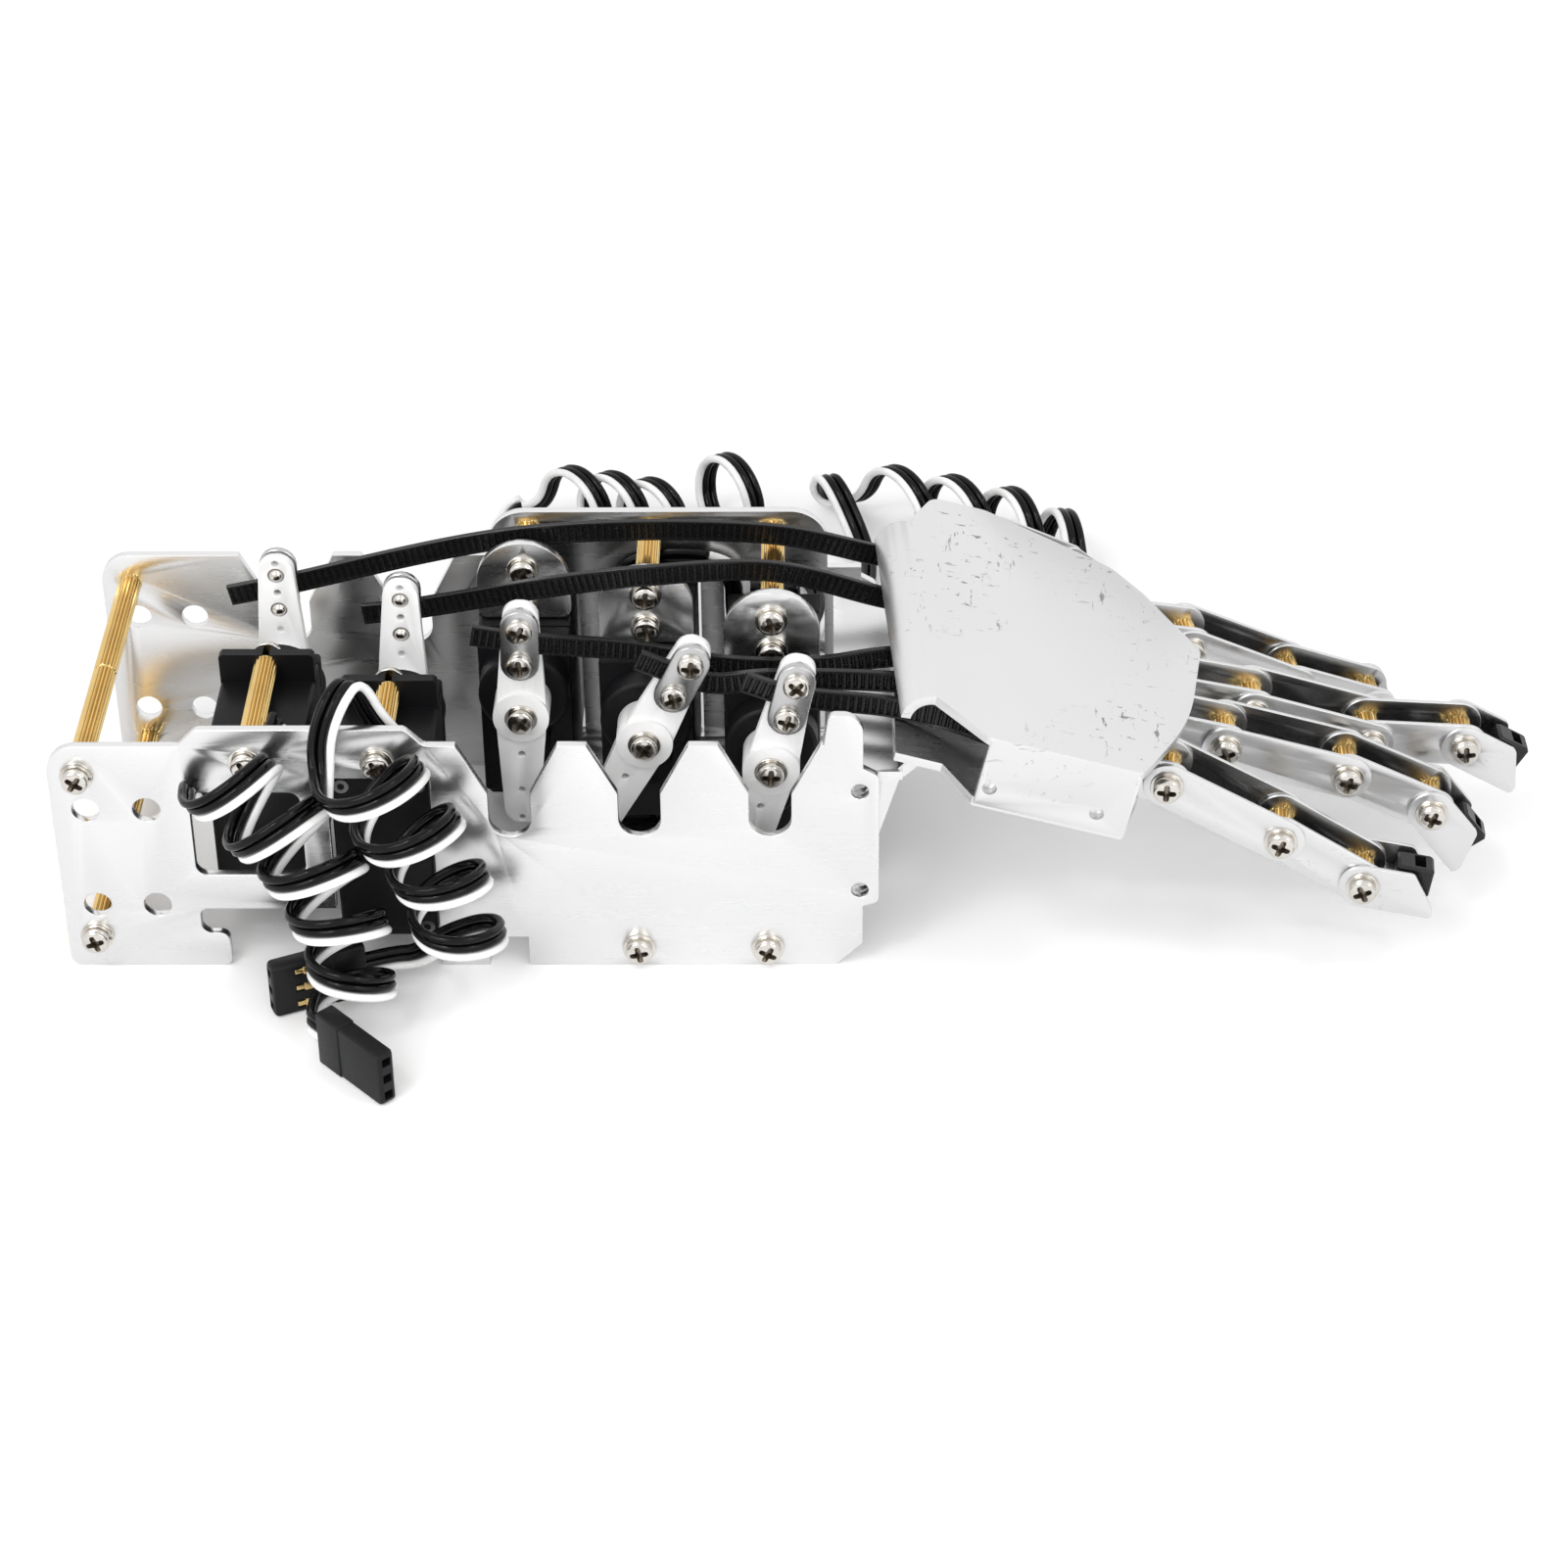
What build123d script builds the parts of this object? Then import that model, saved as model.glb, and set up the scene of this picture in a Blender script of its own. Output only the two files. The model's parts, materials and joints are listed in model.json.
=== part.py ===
"""Tendon-driven robotic hand: a sheet-metal forearm with five micro servos, cable-tie tendons,
a folded palm and five jointed fingers.

Millimetres. +X runs from the rear end of the forearm to the fingertips, +Z is up, and the side
plates stand on Z = 0. While it is built, X is counted from the rear end; save() moves every piece
so that the origin lies under the middle of the floor plate.
"""
import os
from math import cos, radians, sin, tan

from build123d import *

# Side plates
PLATE_T = 1.2
PLATE_OUTER = 23.3
PLATE_INNER = PLATE_OUTER - PLATE_T
PLATE_TOP = 33.7
PLATE_END = 101.3
WRIST_TOP = 38.1
EAR_X = 103.3
EAR_HOLE_X = 100.9
EAR_HOLES_Z = (11.7, 26.8)
FRONT_TAB = (18.9, 44.8, 36.1)
REAR_TAB = (51.9, 96.8, 40.3)
CORNER_R = 1.5
REAR_CORNER_R = 4.0
TAB_R = 2.3
REAR_TAB_R = 4.9
HOOK = (17.2, 20.6, 5.1, 8.9)
BAY_TWO = (34.6, 47.5, 28.9)
RECESS = (53.7, 58.7, 4.4)
TOE = 3.4
OPENING_ONE = (17.3, 31.2, 14.2, 26.8)
OPENING_R = 1.5
BACK_CUTS = ((50.8, 63.7), (67.0, 79.9), (83.0, 96.4))

# Notches that give access to the horn screws
NOTCH_TOP_HALF = 6.3
NOTCH_NECK_HALF = 2.65
NOTCH_NECK_Z = 26.5
NOTCH_ROUND_Z = 22.7

# Hole pattern at the rear end of each side plate
PATTERN_X = (4.3, 11.9)
PATTERN_Z = (9.6, 24.2)
PATTERN_D = 3.5

# Servo stations
SHAFT_X = (24.8, 41.1, 57.2, 73.4, 89.7)
FRONT_HOLE_Z = 31.3
REAR_HOLE_Z = 32.8
EAR_BACK_Y = (-0.75, -6.85, 14.4, 8.3, 2.2)
HORN_TILT = (0.0, 2.0, 2.0, 26.0, 13.5)

# Micro servo, measured from the back face of its ears
SERVO_W = 12.2
SERVO_LENGTH = 24.4
SERVO_ROOM = 0.25
EAR_SPAN = SERVO_LENGTH + 7.9
HOLE_SPAN = SERVO_LENGTH + 5.2
EAR_T = 1.5
SLOT_W = 2.2
CASE_BELOW = 15.9
CASE_ABOVE = 6.7
TOWER_TOP = 10.7
IDLER_D = 6.4
IDLER_SHIFT = 6.9
SHAFT_DROP = 9.45
SPLINE_D = 4.6
SPLINE_TOP = 14.0
SERVO_EDGE = 0.5
RELIEF = (2.4, 4.0, 1.6)
RELIEF_SHIFT = 3.0
RELIEF_DEPTH = 12.6
RELIEF_OUT = 0.9

# Horn and its clamp, measured from the back face of the servo's ears
HUB_D = 7.3
HUB_BASE = 11.0
HUB_TOP = 15.9
ARM_BASE = 13.8
ARM_TOP = 15.3
ARM_REACH = 16.8
ARM_ROOT_W = 6.7
ARM_TIP_W = 4.3
ARM_HOLE_D = 1.0
ARM_HOLE_R = (6.0, 11.6, 16.0)
CLAMP_R = 11.6
CLAMP_PITCH = 5.2
CLAMP_W = 4.9
CLAMP_LENGTH = 10.4
CLAMP_T = 0.9
SCREW_TIP = 0.5

# Cable ties
TIE_W = 2.9
TIE_T = 0.8
TIE_HEAD = (4.6, 3.6, 4.2)

# Fasteners
SCREW_D = 2.0
HOLE_D = 2.2
BORE_D = 2.05
HEAD_D = 3.6
HEAD_H = 1.3
WASHER_D = 4.2
WASHER_T = 0.4
NUT_ACROSS = 4.0
NUT_T = 1.6
STANDOFF_D = 3.0
BORE_DEPTH = 4.5
SHANK = 3.5

# Half-round brackets over the rear servos' ears
BRACKET_T = 1.2
BRACKET_FOOT = 2.3
BRACKET_RISE = 4.9
BRACKET_CENTRE = 2.8
BRACKET_CORNER = 1.2

# Cross bars at the rear end and floor plate
BAR_X = 3.7
BAR_Z = (4.8, 29.4)
FLOOR_X = (59.8, 96.4)
FLOOR_T = 1.2
FLOOR_LIP = 5.5
FLOOR_SCREW_X = (72.8, 89.2)
FLOOR_SCREW_Z = 2.7
ORIGIN_X = (FLOOR_X[0] + FLOOR_X[1]) / 2

# Palm, on a slope down towards the fingers
SLOPE = 12.5
PALM_X = 115.9
COVER_Z = 39.05
COVER_T = 1.2
COVER_EDGE = (
    (107.4, 18.5), (110.7, 25.8, 2), (117.7, 25.1, 4), (127.6, 19.9, 12), (134.0, 16.3, 6),
    (138.0, 11.2, 8), (140.7, 6.3, 6), (144.6, -0.1, 3), (142.0, -17.2, 40), (136.5, -28.7, 4),
    (135.2, -31.0, 1), (116.8, -29.3, 2), (110.3, -22.4),
)
COVER_ROLL = 3.7
COVER_FLANGE = 9.8
COVER_FAR_FLANGE = 3.4
COVER_FAR_END = (124.0, 21.8)
COVER_HOLE_DROP = 7.2
COVER_HOLES_X = (118.2, 131.3)
WEB_DROP = 9.76
WEB_T = 1.2
WEB_EDGE = (
    (107.4, -21.4), (113.2, -22.0), (116.8, -28.0), (135.2, -29.7), (137.5, -22.5), (138.3, -14.8),
    (141.8, -10.0), (143.4, 0.0), (138.6, 10.6), (132.6, 15.8), (126.0, 20.6), (121.0, 22.7),
    (118.8, 27.4, 1.5), (111.4, 26.0, 2),
    (107.4, 21.4),
)
JOGGLE = ((105.6, 27.8), (106.4, 27.8), (108.2, 29.5), (108.6, 30.6), (107.4, 30.9), (105.6, 29.0))
WRIST_X = (97.6, 106.2)
WRIST_Z = 29.0
WRIST_FLANGE = ((98.2, 8.8), (102.4, 8.8), (102.9, 18.3), (105.8, 27.9), (98.2, 27.9))
BASE_SIDE = 5.5

# Fingers: thin channels hinged on knurled spacers
CHANNEL_T = 0.6
CHANNEL_R = 3.0
SPACER = 4.6
PROXIMAL = 16.2
MIDDLE = 12.2
DISTAL = 9.3
FINGERS = ("little", "ring", "middle", "index")
KNUCKLES = ((140.8, -19.0), (148.8, -8.05), (153.1, 1.5), (145.5, 14.0))
SPLAY = (6.0, 2.0, -1.0, -8.0)
PROXIMAL_PITCH = (26.7, 14.8, 17.5, 27.3)
MIDDLE_PITCH = (30.3, 25.0, 4.0, 22.3)
DISTAL_PITCH = (8.0, 52.0, 30.0, 76.0)
METACARPAL = (17.5, 22.0, 25.0, 19.0)
THUMB_KNUCKLE = (122.0, 27.5)
THUMB_SPLAY = -25.0
THUMB_PITCH = (35.0, 45.0)
THUMB_METACARPAL = 8.5
THUMB_PROXIMAL = 13.4
THUMB_DISTAL = 8.6
WEB_X = (3.2, 10.4)
MIDDLE_WEB_X = (1.4, 7.4)
DISTAL_WEB_X = (3.2, 8.8)
DISTAL_TOP_X = 6.1
DISTAL_NOSE_Z = -1.8
CHANNEL_GAP = 0.05
WASHER_PLAY = 0.02
PIN_SHANK = 3.3
STRAP_DROP = 1.98
STRAP_RISE = (2.6, -1.5)
STRAP_TWIST_LIFT = 1.0
HEAD_SPOT = (8.0, 0.8)

# Tail (x, z) of each tie, then its points (x, z, y) from its horn's clamp to the wrist
TIE_TAILS = ((18.2, 32.0), (36.4, 32.9), (51.4, 36.0), (72.9, 36.2), (86.4, 36.8))
TIE_RUNS = (
    ((57.2, 40.9, 14.95), (89.7, 40.9, 15.4), (104.9, 35.5, 18.6)),
    ((60.0, 38.4, 6.2), (68.5, 40.6, 4.7), (73.4, 41.2, 4.6), (89.7, 41.0, 6.0), (104.9, 35.2, 8.6)),
    ((72.0, 33.6, -1.3), (84.0, 32.4, -3.0), (95.0, 32.2, -3.0), (105.6, 33.1, -2.0)),
    ((82.4, 32.6, -7.4), (89.6, 33.2, -7.4), (105.6, 33.1, -8.0)),
    ((104.6, 33.1, -13.6),),
)
TIE_FINGERS = ("thumb", "index", "middle", "ring", "little")

# Servo leads: a fat tube stands for each curly stretch
LEAD_D = 2.4
BEND_R = 3.0
FRONT_COIL_D = 12.0
REAR_COIL_D = 9.6
PLUG_L = 12.3
PLUG_W = 7.8
PLUG_T = 2.7
PLUG_GAP = 0.06
LEADS = (
    (
        FRONT_COIL_D,
        (
            (27.8, -13.35, 30.8), (27.8, -18.7, 30.8), (22.5, -19.2, 24.2), (19.4, -24.6, 24.2),
            (18.6, -30.4, 28.6), (23.4, -31.3, 32.9),
        ),
        ((23.4, -31.3, 32.9), (29.2, -31.5, 27.1), (34.6, -33.3, 18.2), (37.6, -36.9, 8.7)),
        ((37.6, -36.9, 8.7), (36.2, -39.6, 8.6), (33.0, -40.5, 3.9), (34.8, -42.4, 3.9)),
    ),
    (
        FRONT_COIL_D,
        (
            (44.1, -19.45, 30.8), (44.1, -19.45, 38.4), (40.5, -22.9, 40.8), (35.6, -27.6, 38.8),
            (34.2, -31.4, 34.8), (40.4, -31.5, 35.4),
        ),
        ((40.4, -31.5, 35.4), (45.6, -31.7, 26.0), (49.2, -31.9, 18.6), (51.0, -32.3, 10.3)),
        (
            (51.0, -32.3, 10.3), (51.4, -30.4, 4.4), (47.4, -27.2, 1.3), (43.9, -25.8, 2.6),
            (41.4, -26.95, 3.9), (38.2, -28.4, 3.9),
        ),
    ),
    (
        REAR_COIL_D,
        ((54.2, 27.0, 32.3), (54.2, 33.0, 32.3), (50.0, 46.0, 1.3), (50.0, 83.0, 1.3), (56.0, 83.9, 5.0)),
        ((56.0, 83.9, 5.0), (65.0, 83.0, 5.0), (74.0, 83.4, 5.0)),
        ((74.0, 83.4, 5.0), (77.0, 78.0, 1.3), (71.6, 68.7, 3.9), (70.0, 66.0, 3.9)),
    ),
    (
        REAR_COIL_D,
        (
            (70.4, 20.8, 31.1), (70.4, 20.8, 33.6), (84.9, 20.8, 33.6), (84.9, 20.8, 24.0),
            (84.9, 33.0, 18.0), (92.0, 46.0, 1.3), (100.2, 65.3, 1.3), (93.3, 81.7, 2.0),
            (90.0, 84.6, 5.0),
        ),
        ((90.0, 84.6, 5.0), (86.0, 87.2, 5.0), (80.0, 88.8, 5.0)),
        ((80.0, 88.8, 5.0), (80.6, 78.0, 1.3), (83.2, 68.8, 3.9), (84.0, 66.0, 3.9)),
    ),
    (
        REAR_COIL_D,
        (
            (86.7, 14.8, 32.3), (91.5, 14.8, 32.3), (91.5, 20.2, 32.3), (91.5, 20.2, 17.0),
            (92.5, 33.0, 14.0), (104.0, 46.0, 1.3), (104.0, 80.0, 1.3), (107.2, 84.2, 5.0),
        ),
        ((107.2, 84.2, 5.0), (116.7, 81.2, 5.0), (125.9, 77.8, 5.0), (133.2, 72.2, 5.0)),
        ((133.2, 72.2, 5.0), (134.6, 66.0, 1.6), (129.8, 60.2, 3.9), (128.0, 58.0, 3.9)),
    ),
)
PLUGS = (
    (34.8, -42.4, -46.5), (38.2, -28.4, 204.5), (70.0, 66.0, 239.7), (84.0, 66.0, 285.8),
    (128.0, 58.0, 230.5),
)


def outline(*corners):
    """Flat face through corners (x, y) or (x, y, radius), in order round its edge."""
    edges = []
    joints = []
    for index, corner in enumerate(corners):
        point = Vector(corner[0], corner[1])
        radius = corner[2] if len(corner) > 2 else 0
        if not radius:
            joints.append((point, point))
            continue
        before = corners[index - 1]
        after = corners[(index + 1) % len(corners)]
        back = (Vector(before[0], before[1]) - point).normalized()
        ahead = (Vector(after[0], after[1]) - point).normalized()
        half = radians(back.get_angle(ahead)) / 2
        middle = point + (back + ahead).normalized() * (radius / sin(half) - radius)
        start = point + back * (radius / tan(half))
        end = point + ahead * (radius / tan(half))
        edges.append(ThreePointArc(start, middle, end))
        joints.append((start, end))
    for index, (start, end) in enumerate(joints):
        following = joints[(index + 1) % len(joints)][0]
        if (following - end).length > 1e-6:
            edges.append(Line(end, following))
    return make_face(edges)


def slab(face, y_low, y_high):
    """Solid between two Y planes; the face is drawn in X and Z."""
    return Pos(0, y_high, 0) * extrude(Plane.XZ * face, amount=y_high - y_low)


def rod(x, z, y_low, y_high, diameter):
    """Cylinder along Y between two Y values."""
    return slab(Pos(x, z) * Circle(diameter / 2), y_low, y_high)


def box(x_low, x_high, y_low, y_high, z_low, z_high):
    """Block between three pairs of limits."""
    block = Box(x_high - x_low, y_high - y_low, z_high - z_low)
    return Pos((x_low + x_high) / 2, (y_low + y_high) / 2, (z_low + z_high) / 2) * block


def screw(x, z, seat_y, outward, length, washers=1):
    """Pan-head screw and washers on a face at seat_y; outward is +1 or -1 along Y."""
    pieces = []
    level = seat_y
    for _ in range(washers):
        top = level + outward * WASHER_T
        washer = rod(x, z, min(level, top), max(level, top), WASHER_D)
        pieces.append(washer - rod(x, z, min(level, top), max(level, top), HOLE_D))
        level = top
    top = level + outward * HEAD_H
    end = seat_y - outward * length
    head = rod(x, z, min(level, top), max(level, top), HEAD_D)
    shank = rod(x, z, min(level, end), max(level, end), SCREW_D)
    pieces.append(head + shank)
    return pieces


def standoff(x, z, y_low, y_high):
    """Round spacer along Y with a bore at each end."""
    body = rod(x, z, y_low, y_high, STANDOFF_D)
    body -= rod(x, z, y_low, y_low + BORE_DEPTH, BORE_D)
    return body - rod(x, z, y_high - BORE_DEPTH, y_high, BORE_D)


def save(name, *pieces):
    """Moves pieces to the part's origin and writes them as one file."""
    shift = Pos(-ORIGIN_X, 0, 0)
    placed = [shift * solid for piece in pieces for solid in piece.solids()]
    shape = placed[0] if len(placed) == 1 else Compound(children=placed)
    shape.label = name
    export_step(shape, f"parts/{name}.step")


def notch(x):
    """Opening that narrows from the plate's top edge to a slot with a round end."""
    top = 45.0
    widened = outline(
        (x - NOTCH_TOP_HALF, PLATE_TOP),
        (x - NOTCH_NECK_HALF, NOTCH_NECK_Z),
        (x - NOTCH_NECK_HALF, NOTCH_ROUND_Z),
        (x + NOTCH_NECK_HALF, NOTCH_ROUND_Z),
        (x + NOTCH_NECK_HALF, NOTCH_NECK_Z),
        (x + NOTCH_TOP_HALF, PLATE_TOP),
        (x + NOTCH_TOP_HALF, top),
        (x - NOTCH_TOP_HALF, top),
    )
    return widened + Pos(x, NOTCH_ROUND_Z) * Circle(NOTCH_NECK_HALF)


def shared_holes(face):
    """Holes that both side plates have."""
    for x in PATTERN_X:
        for z in PATTERN_Z:
            face -= Pos(x, z) * Circle(PATTERN_D / 2)
    for z in BAR_Z:
        face -= Pos(BAR_X, z) * Circle(HOLE_D / 2)
    for x in FLOOR_SCREW_X:
        face -= Pos(x, FLOOR_SCREW_Z) * Circle(HOLE_D / 2)
    for z in EAR_HOLES_Z:
        face -= Pos(EAR_HOLE_X, z) * Circle(HOLE_D / 2)
    return face


def front_side_plate():
    """Side plate towards -Y, which carries servos one and two."""
    hook_left, hook_right, hook_low, hook_high = HOOK
    bay_left, bay_right, bay_top = BAY_TWO
    recess_left, recess_right, recess_top = RECESS
    tab_left, tab_right, tab_top = FRONT_TAB
    face = outline(
        (0, 0, CORNER_R),
        (hook_right, 0, 1),
        (hook_right, hook_low, 1.2),
        (hook_left, hook_low, 1.4),
        (hook_left, hook_high, 1),
        (bay_left, hook_high),
        (bay_left, bay_top),
        (bay_right, bay_top),
        (bay_right, 0),
        (recess_left, 0),
        (recess_left, recess_top),
        (recess_right, recess_top),
        (recess_right, 0),
        (PLATE_END - TOE, 0),
        (PLATE_END, TOE),
        (PLATE_END, 9.2),
        (EAR_X, 9.8, 1),
        (EAR_X, 29.0, 1),
        (PLATE_END, 30.2),
        (PLATE_END, WRIST_TOP, 2.6),
        (97.0, WRIST_TOP, 1),
        (96.4, PLATE_TOP),
        (tab_right + TAB_R, PLATE_TOP, TAB_R / 2),
        (tab_right, tab_top, TAB_R / 2),
        (tab_left, tab_top, TAB_R / 2),
        (tab_left - TAB_R, PLATE_TOP, TAB_R / 2),
        (0, PLATE_TOP, REAR_CORNER_R),
    )
    left, right, low, high = OPENING_ONE
    face -= Pos((left + right) / 2, (low + high) / 2) * RectangleRounded(right - left, high - low, OPENING_R)
    for x in SHAFT_X[2:]:
        face -= notch(x)
    for x in SHAFT_X[:2]:
        face -= Pos(x, FRONT_HOLE_Z) * Circle(HOLE_D / 2)
    return slab(shared_holes(face), -PLATE_OUTER, -PLATE_INNER)


def rear_side_plate():
    """Side plate towards +Y, which carries servos three to five."""
    tab_left, tab_right, tab_top = REAR_TAB
    face = outline(
        (0, 0, CORNER_R),
        (PLATE_END - TOE, 0),
        (PLATE_END, TOE),
        (PLATE_END, 9.2),
        (EAR_X, 9.8, 1),
        (EAR_X, 29.0, 1),
        (PLATE_END, 30.2),
        (PLATE_END, 31.7),
        (tab_right, 31.7),
        (tab_right, tab_top, REAR_TAB_R),
        (tab_left, tab_top, REAR_TAB_R),
        (tab_left, PLATE_TOP),
        (0, PLATE_TOP, REAR_CORNER_R),
    )
    middle = REAR_HOLE_Z - HOLE_SPAN / 2
    low = middle - SERVO_LENGTH / 2 - SERVO_ROOM
    high = middle + SERVO_LENGTH / 2 + SERVO_ROOM
    for left, right in BACK_CUTS:
        face -= Pos((left + right) / 2, (low + high) / 2) * Rectangle(right - left, high - low)
    for x in SHAFT_X[:2]:
        face -= notch(x)
    for x in SHAFT_X[2:]:
        face -= Pos(x, REAR_HOLE_Z + BRACKET_RISE) * Circle(HOLE_D / 2)
    return slab(shared_holes(face), PLATE_INNER, PLATE_OUTER)


def floor_plate():
    """Channel that ties the bottoms of the side plates together."""
    left, right = FLOOR_X
    plate = box(left, right, -PLATE_INNER, PLATE_INNER, 0, FLOOR_T)
    for low, high in ((-PLATE_INNER, FLOOR_T - PLATE_INNER), (PLATE_INNER - FLOOR_T, PLATE_INNER)):
        lip = box(left, right, low, high, 0, FLOOR_LIP)
        for x in FLOOR_SCREW_X:
            lip -= rod(x, FLOOR_SCREW_Z, low, high, HOLE_D)
        plate += lip
    return plate


def servo_frame(number):
    """Frame on the servo's shaft at the back face of its ears; its Z axis is the shaft's."""
    hole_z = FRONT_HOLE_Z if number < 2 else REAR_HOLE_Z
    origin = (SHAFT_X[number], EAR_BACK_Y[number], hole_z - SHAFT_DROP)
    forward = (0, 1, 0) if number < 2 else (0, -1, 0)
    return Plane(origin=origin, x_dir=(0, 0, 1), z_dir=forward).location


def servo():
    """Micro servo in its own frame: X up the case, Z along the shaft."""
    top = SHAFT_DROP - (HOLE_SPAN - SERVO_LENGTH) / 2
    middle = top - SERVO_LENGTH / 2
    height = CASE_BELOW + CASE_ABOVE
    case = Pos(middle, 0, height / 2 - CASE_BELOW) * Box(SERVO_LENGTH, SERVO_W, height)
    case = fillet(case.edges().filter_by(Axis.Z), SERVO_EDGE)
    ears = Pos(middle, 0, EAR_T / 2) * Box(EAR_SPAN, SERVO_W, EAR_T)
    for side in (-1, 1):
        x = middle + side * HOLE_SPAN / 2
        ears -= Pos(x, 0, EAR_T / 2) * Cylinder(SLOT_W / 2, 2 * EAR_T)
        ears -= Pos(x + side * 1.5, 0, EAR_T / 2) * Box(3, 0.9, 2 * EAR_T)
    rise = TOWER_TOP - CASE_ABOVE + 1
    tower = Pos(0, 0, TOWER_TOP - rise / 2) * Cylinder(SERVO_W / 2 - 0.2, rise)
    idler = Pos(-IDLER_SHIFT, 0, TOWER_TOP - rise / 2) * Cylinder(IDLER_D / 2, rise)
    spline_h = SPLINE_TOP - TOWER_TOP + 1
    spline = Pos(0, 0, SPLINE_TOP - spline_h / 2) * Cylinder(SPLINE_D / 2 - 0.3, spline_h)
    spline -= Pos(0, 0, SPLINE_TOP - 1.5) * Cylinder(BORE_D / 2, 3)
    relief = Pos(top + RELIEF_OUT - RELIEF[0] / 2, RELIEF_SHIFT, -RELIEF_DEPTH) * Box(*RELIEF)
    return case + ears + tower + idler + spline + relief


def horn():
    """Two-armed horn in the servo's frame, arms along X."""
    hub = Pos(0, 0, (HUB_BASE + HUB_TOP) / 2) * Cylinder(HUB_D / 2, HUB_TOP - HUB_BASE)
    root = ARM_ROOT_W / 2
    tip = ARM_TIP_W / 2
    arms = outline(
        (0, -root),
        (ARM_REACH, -tip, tip * 0.98),
        (ARM_REACH, tip, tip * 0.98),
        (0, root),
        (-ARM_REACH, tip, tip * 0.98),
        (-ARM_REACH, -tip, tip * 0.98),
    )
    blade = Pos(0, 0, ARM_BASE) * extrude(arms, amount=ARM_TOP - ARM_BASE)
    body = hub + blade
    body -= Pos(0, 0, (HUB_BASE + SPLINE_TOP) / 2) * Cylinder(SPLINE_D / 2, SPLINE_TOP - HUB_BASE)
    body -= Cylinder(HOLE_D / 2, 3 * HUB_TOP)
    for side in (-1, 1):
        for radius in ARM_HOLE_R:
            body -= Pos(side * radius, 0, ARM_BASE) * Cylinder(ARM_HOLE_D / 2, 6)
    for radius in (CLAMP_R - CLAMP_PITCH / 2, CLAMP_R + CLAMP_PITCH / 2):
        body -= Pos(radius, 0, ARM_BASE) * Cylinder(HOLE_D / 2, 6)
    return body


def clamp():
    """Link plate that holds the tie against the horn, in the servo's frame."""
    base = ARM_TOP + TIE_T
    plate = SlotOverall(CLAMP_LENGTH, CLAMP_W)
    for side in (-1, 1):
        plate -= Pos(side * CLAMP_PITCH / 2, 0) * Circle(HOLE_D / 2)
    return Pos(CLAMP_R, 0, base) * extrude(plate, amount=CLAMP_T)


def horn_screws():
    """Hub screw with its washer, and the two clamp screws, whose tips pass through the horn."""
    pieces = []
    washer = Pos(0, 0, HUB_TOP + WASHER_T / 2) * Cylinder(WASHER_D / 2, WASHER_T)
    pieces.append(washer - Cylinder(HOLE_D / 2, 3 * HUB_TOP))
    head = Pos(0, 0, HUB_TOP + WASHER_T + HEAD_H / 2) * Cylinder(HEAD_D / 2, HEAD_H)
    shank = Pos(0, 0, HUB_TOP + WASHER_T - 2) * Cylinder(SCREW_D / 2, 4)
    pieces.append(head + shank)
    base = ARM_TOP + TIE_T + CLAMP_T
    for side in (-1, 1):
        place = Pos(CLAMP_R + side * CLAMP_PITCH / 2, 0, 0)
        head = Pos(0, 0, base + HEAD_H / 2) * Cylinder(HEAD_D / 2, HEAD_H)
        length = base - ARM_BASE + SCREW_TIP
        shank = Pos(0, 0, base - length / 2) * Cylinder(SCREW_D / 2, length)
        pieces.append(place * (head + shank))
    return pieces


def bracket(number):
    """Half-round plate that links a rear servo's ear to its standoff."""
    x = SHAFT_X[number]
    top = SERVO_W / 2
    low = REAR_HOLE_Z - BRACKET_FOOT
    face = outline(
        (x - top, low, BRACKET_CORNER),
        (x + top, low, BRACKET_CORNER),
        (x + top, REAR_HOLE_Z + BRACKET_CENTRE + top, top * 0.98),
        (x - top, REAR_HOLE_Z + BRACKET_CENTRE + top, top * 0.98),
    )
    for z in (REAR_HOLE_Z, REAR_HOLE_Z + BRACKET_RISE):
        face -= Pos(x, z) * Circle(HOLE_D / 2)
    front = EAR_BACK_Y[number] - EAR_T
    return slab(face, front - BRACKET_T, front)


def tape(stations):
    """Strap through stations of a point and the direction that its width lies in."""
    sections = []
    last = len(stations) - 1
    for index, (point, across) in enumerate(stations):
        before = Vector(*stations[max(index - 1, 0)][0])
        after = Vector(*stations[min(index + 1, last)][0])
        ahead = (after - before).normalized()
        width = Vector(*across)
        width = (width - ahead * width.dot(ahead)).normalized()
        frame = Plane(origin=tuple(point), x_dir=width, z_dir=ahead)
        sections.append(frame * Rectangle(TIE_W, TIE_T))
    return loft(sections, ruled=True)


def palm_frame():
    """Frame on the cover's top face: X down the slope, Z out of the palm's back."""
    down = (cos(radians(SLOPE)), 0, -sin(radians(SLOPE)))
    out = (sin(radians(SLOPE)), 0, cos(radians(SLOPE)))
    return Plane(origin=(PALM_X, 0, COVER_Z), x_dir=down, z_dir=out).location


def on_palm(x):
    """Distance down the slope of a place given by its level X."""
    return (x - PALM_X) / cos(radians(SLOPE))


def palm_outline(corners):
    """Face in the palm's frame from corners given in level X and Y."""
    return outline(*[(on_palm(corner[0]), *corner[1:]) for corner in corners])


def wall(start, end, z_low, z_high, thickness, inset=0.0):
    """Upright wall in the palm's frame from corner to corner, inset and thickness to its left."""
    a = Vector(on_palm(start[0]), start[1])
    b = Vector(on_palm(end[0]), end[1])
    ahead = (b - a).normalized()
    left = Vector(-ahead.Y, ahead.X)
    corners = (a + left * inset, b + left * inset, b + left * (inset + thickness))
    corners += (a + left * (inset + thickness),)
    face = outline(*[(corner.X, corner.Y) for corner in corners])
    return Pos(0, 0, z_low) * extrude(face, amount=z_high - z_low)


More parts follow.
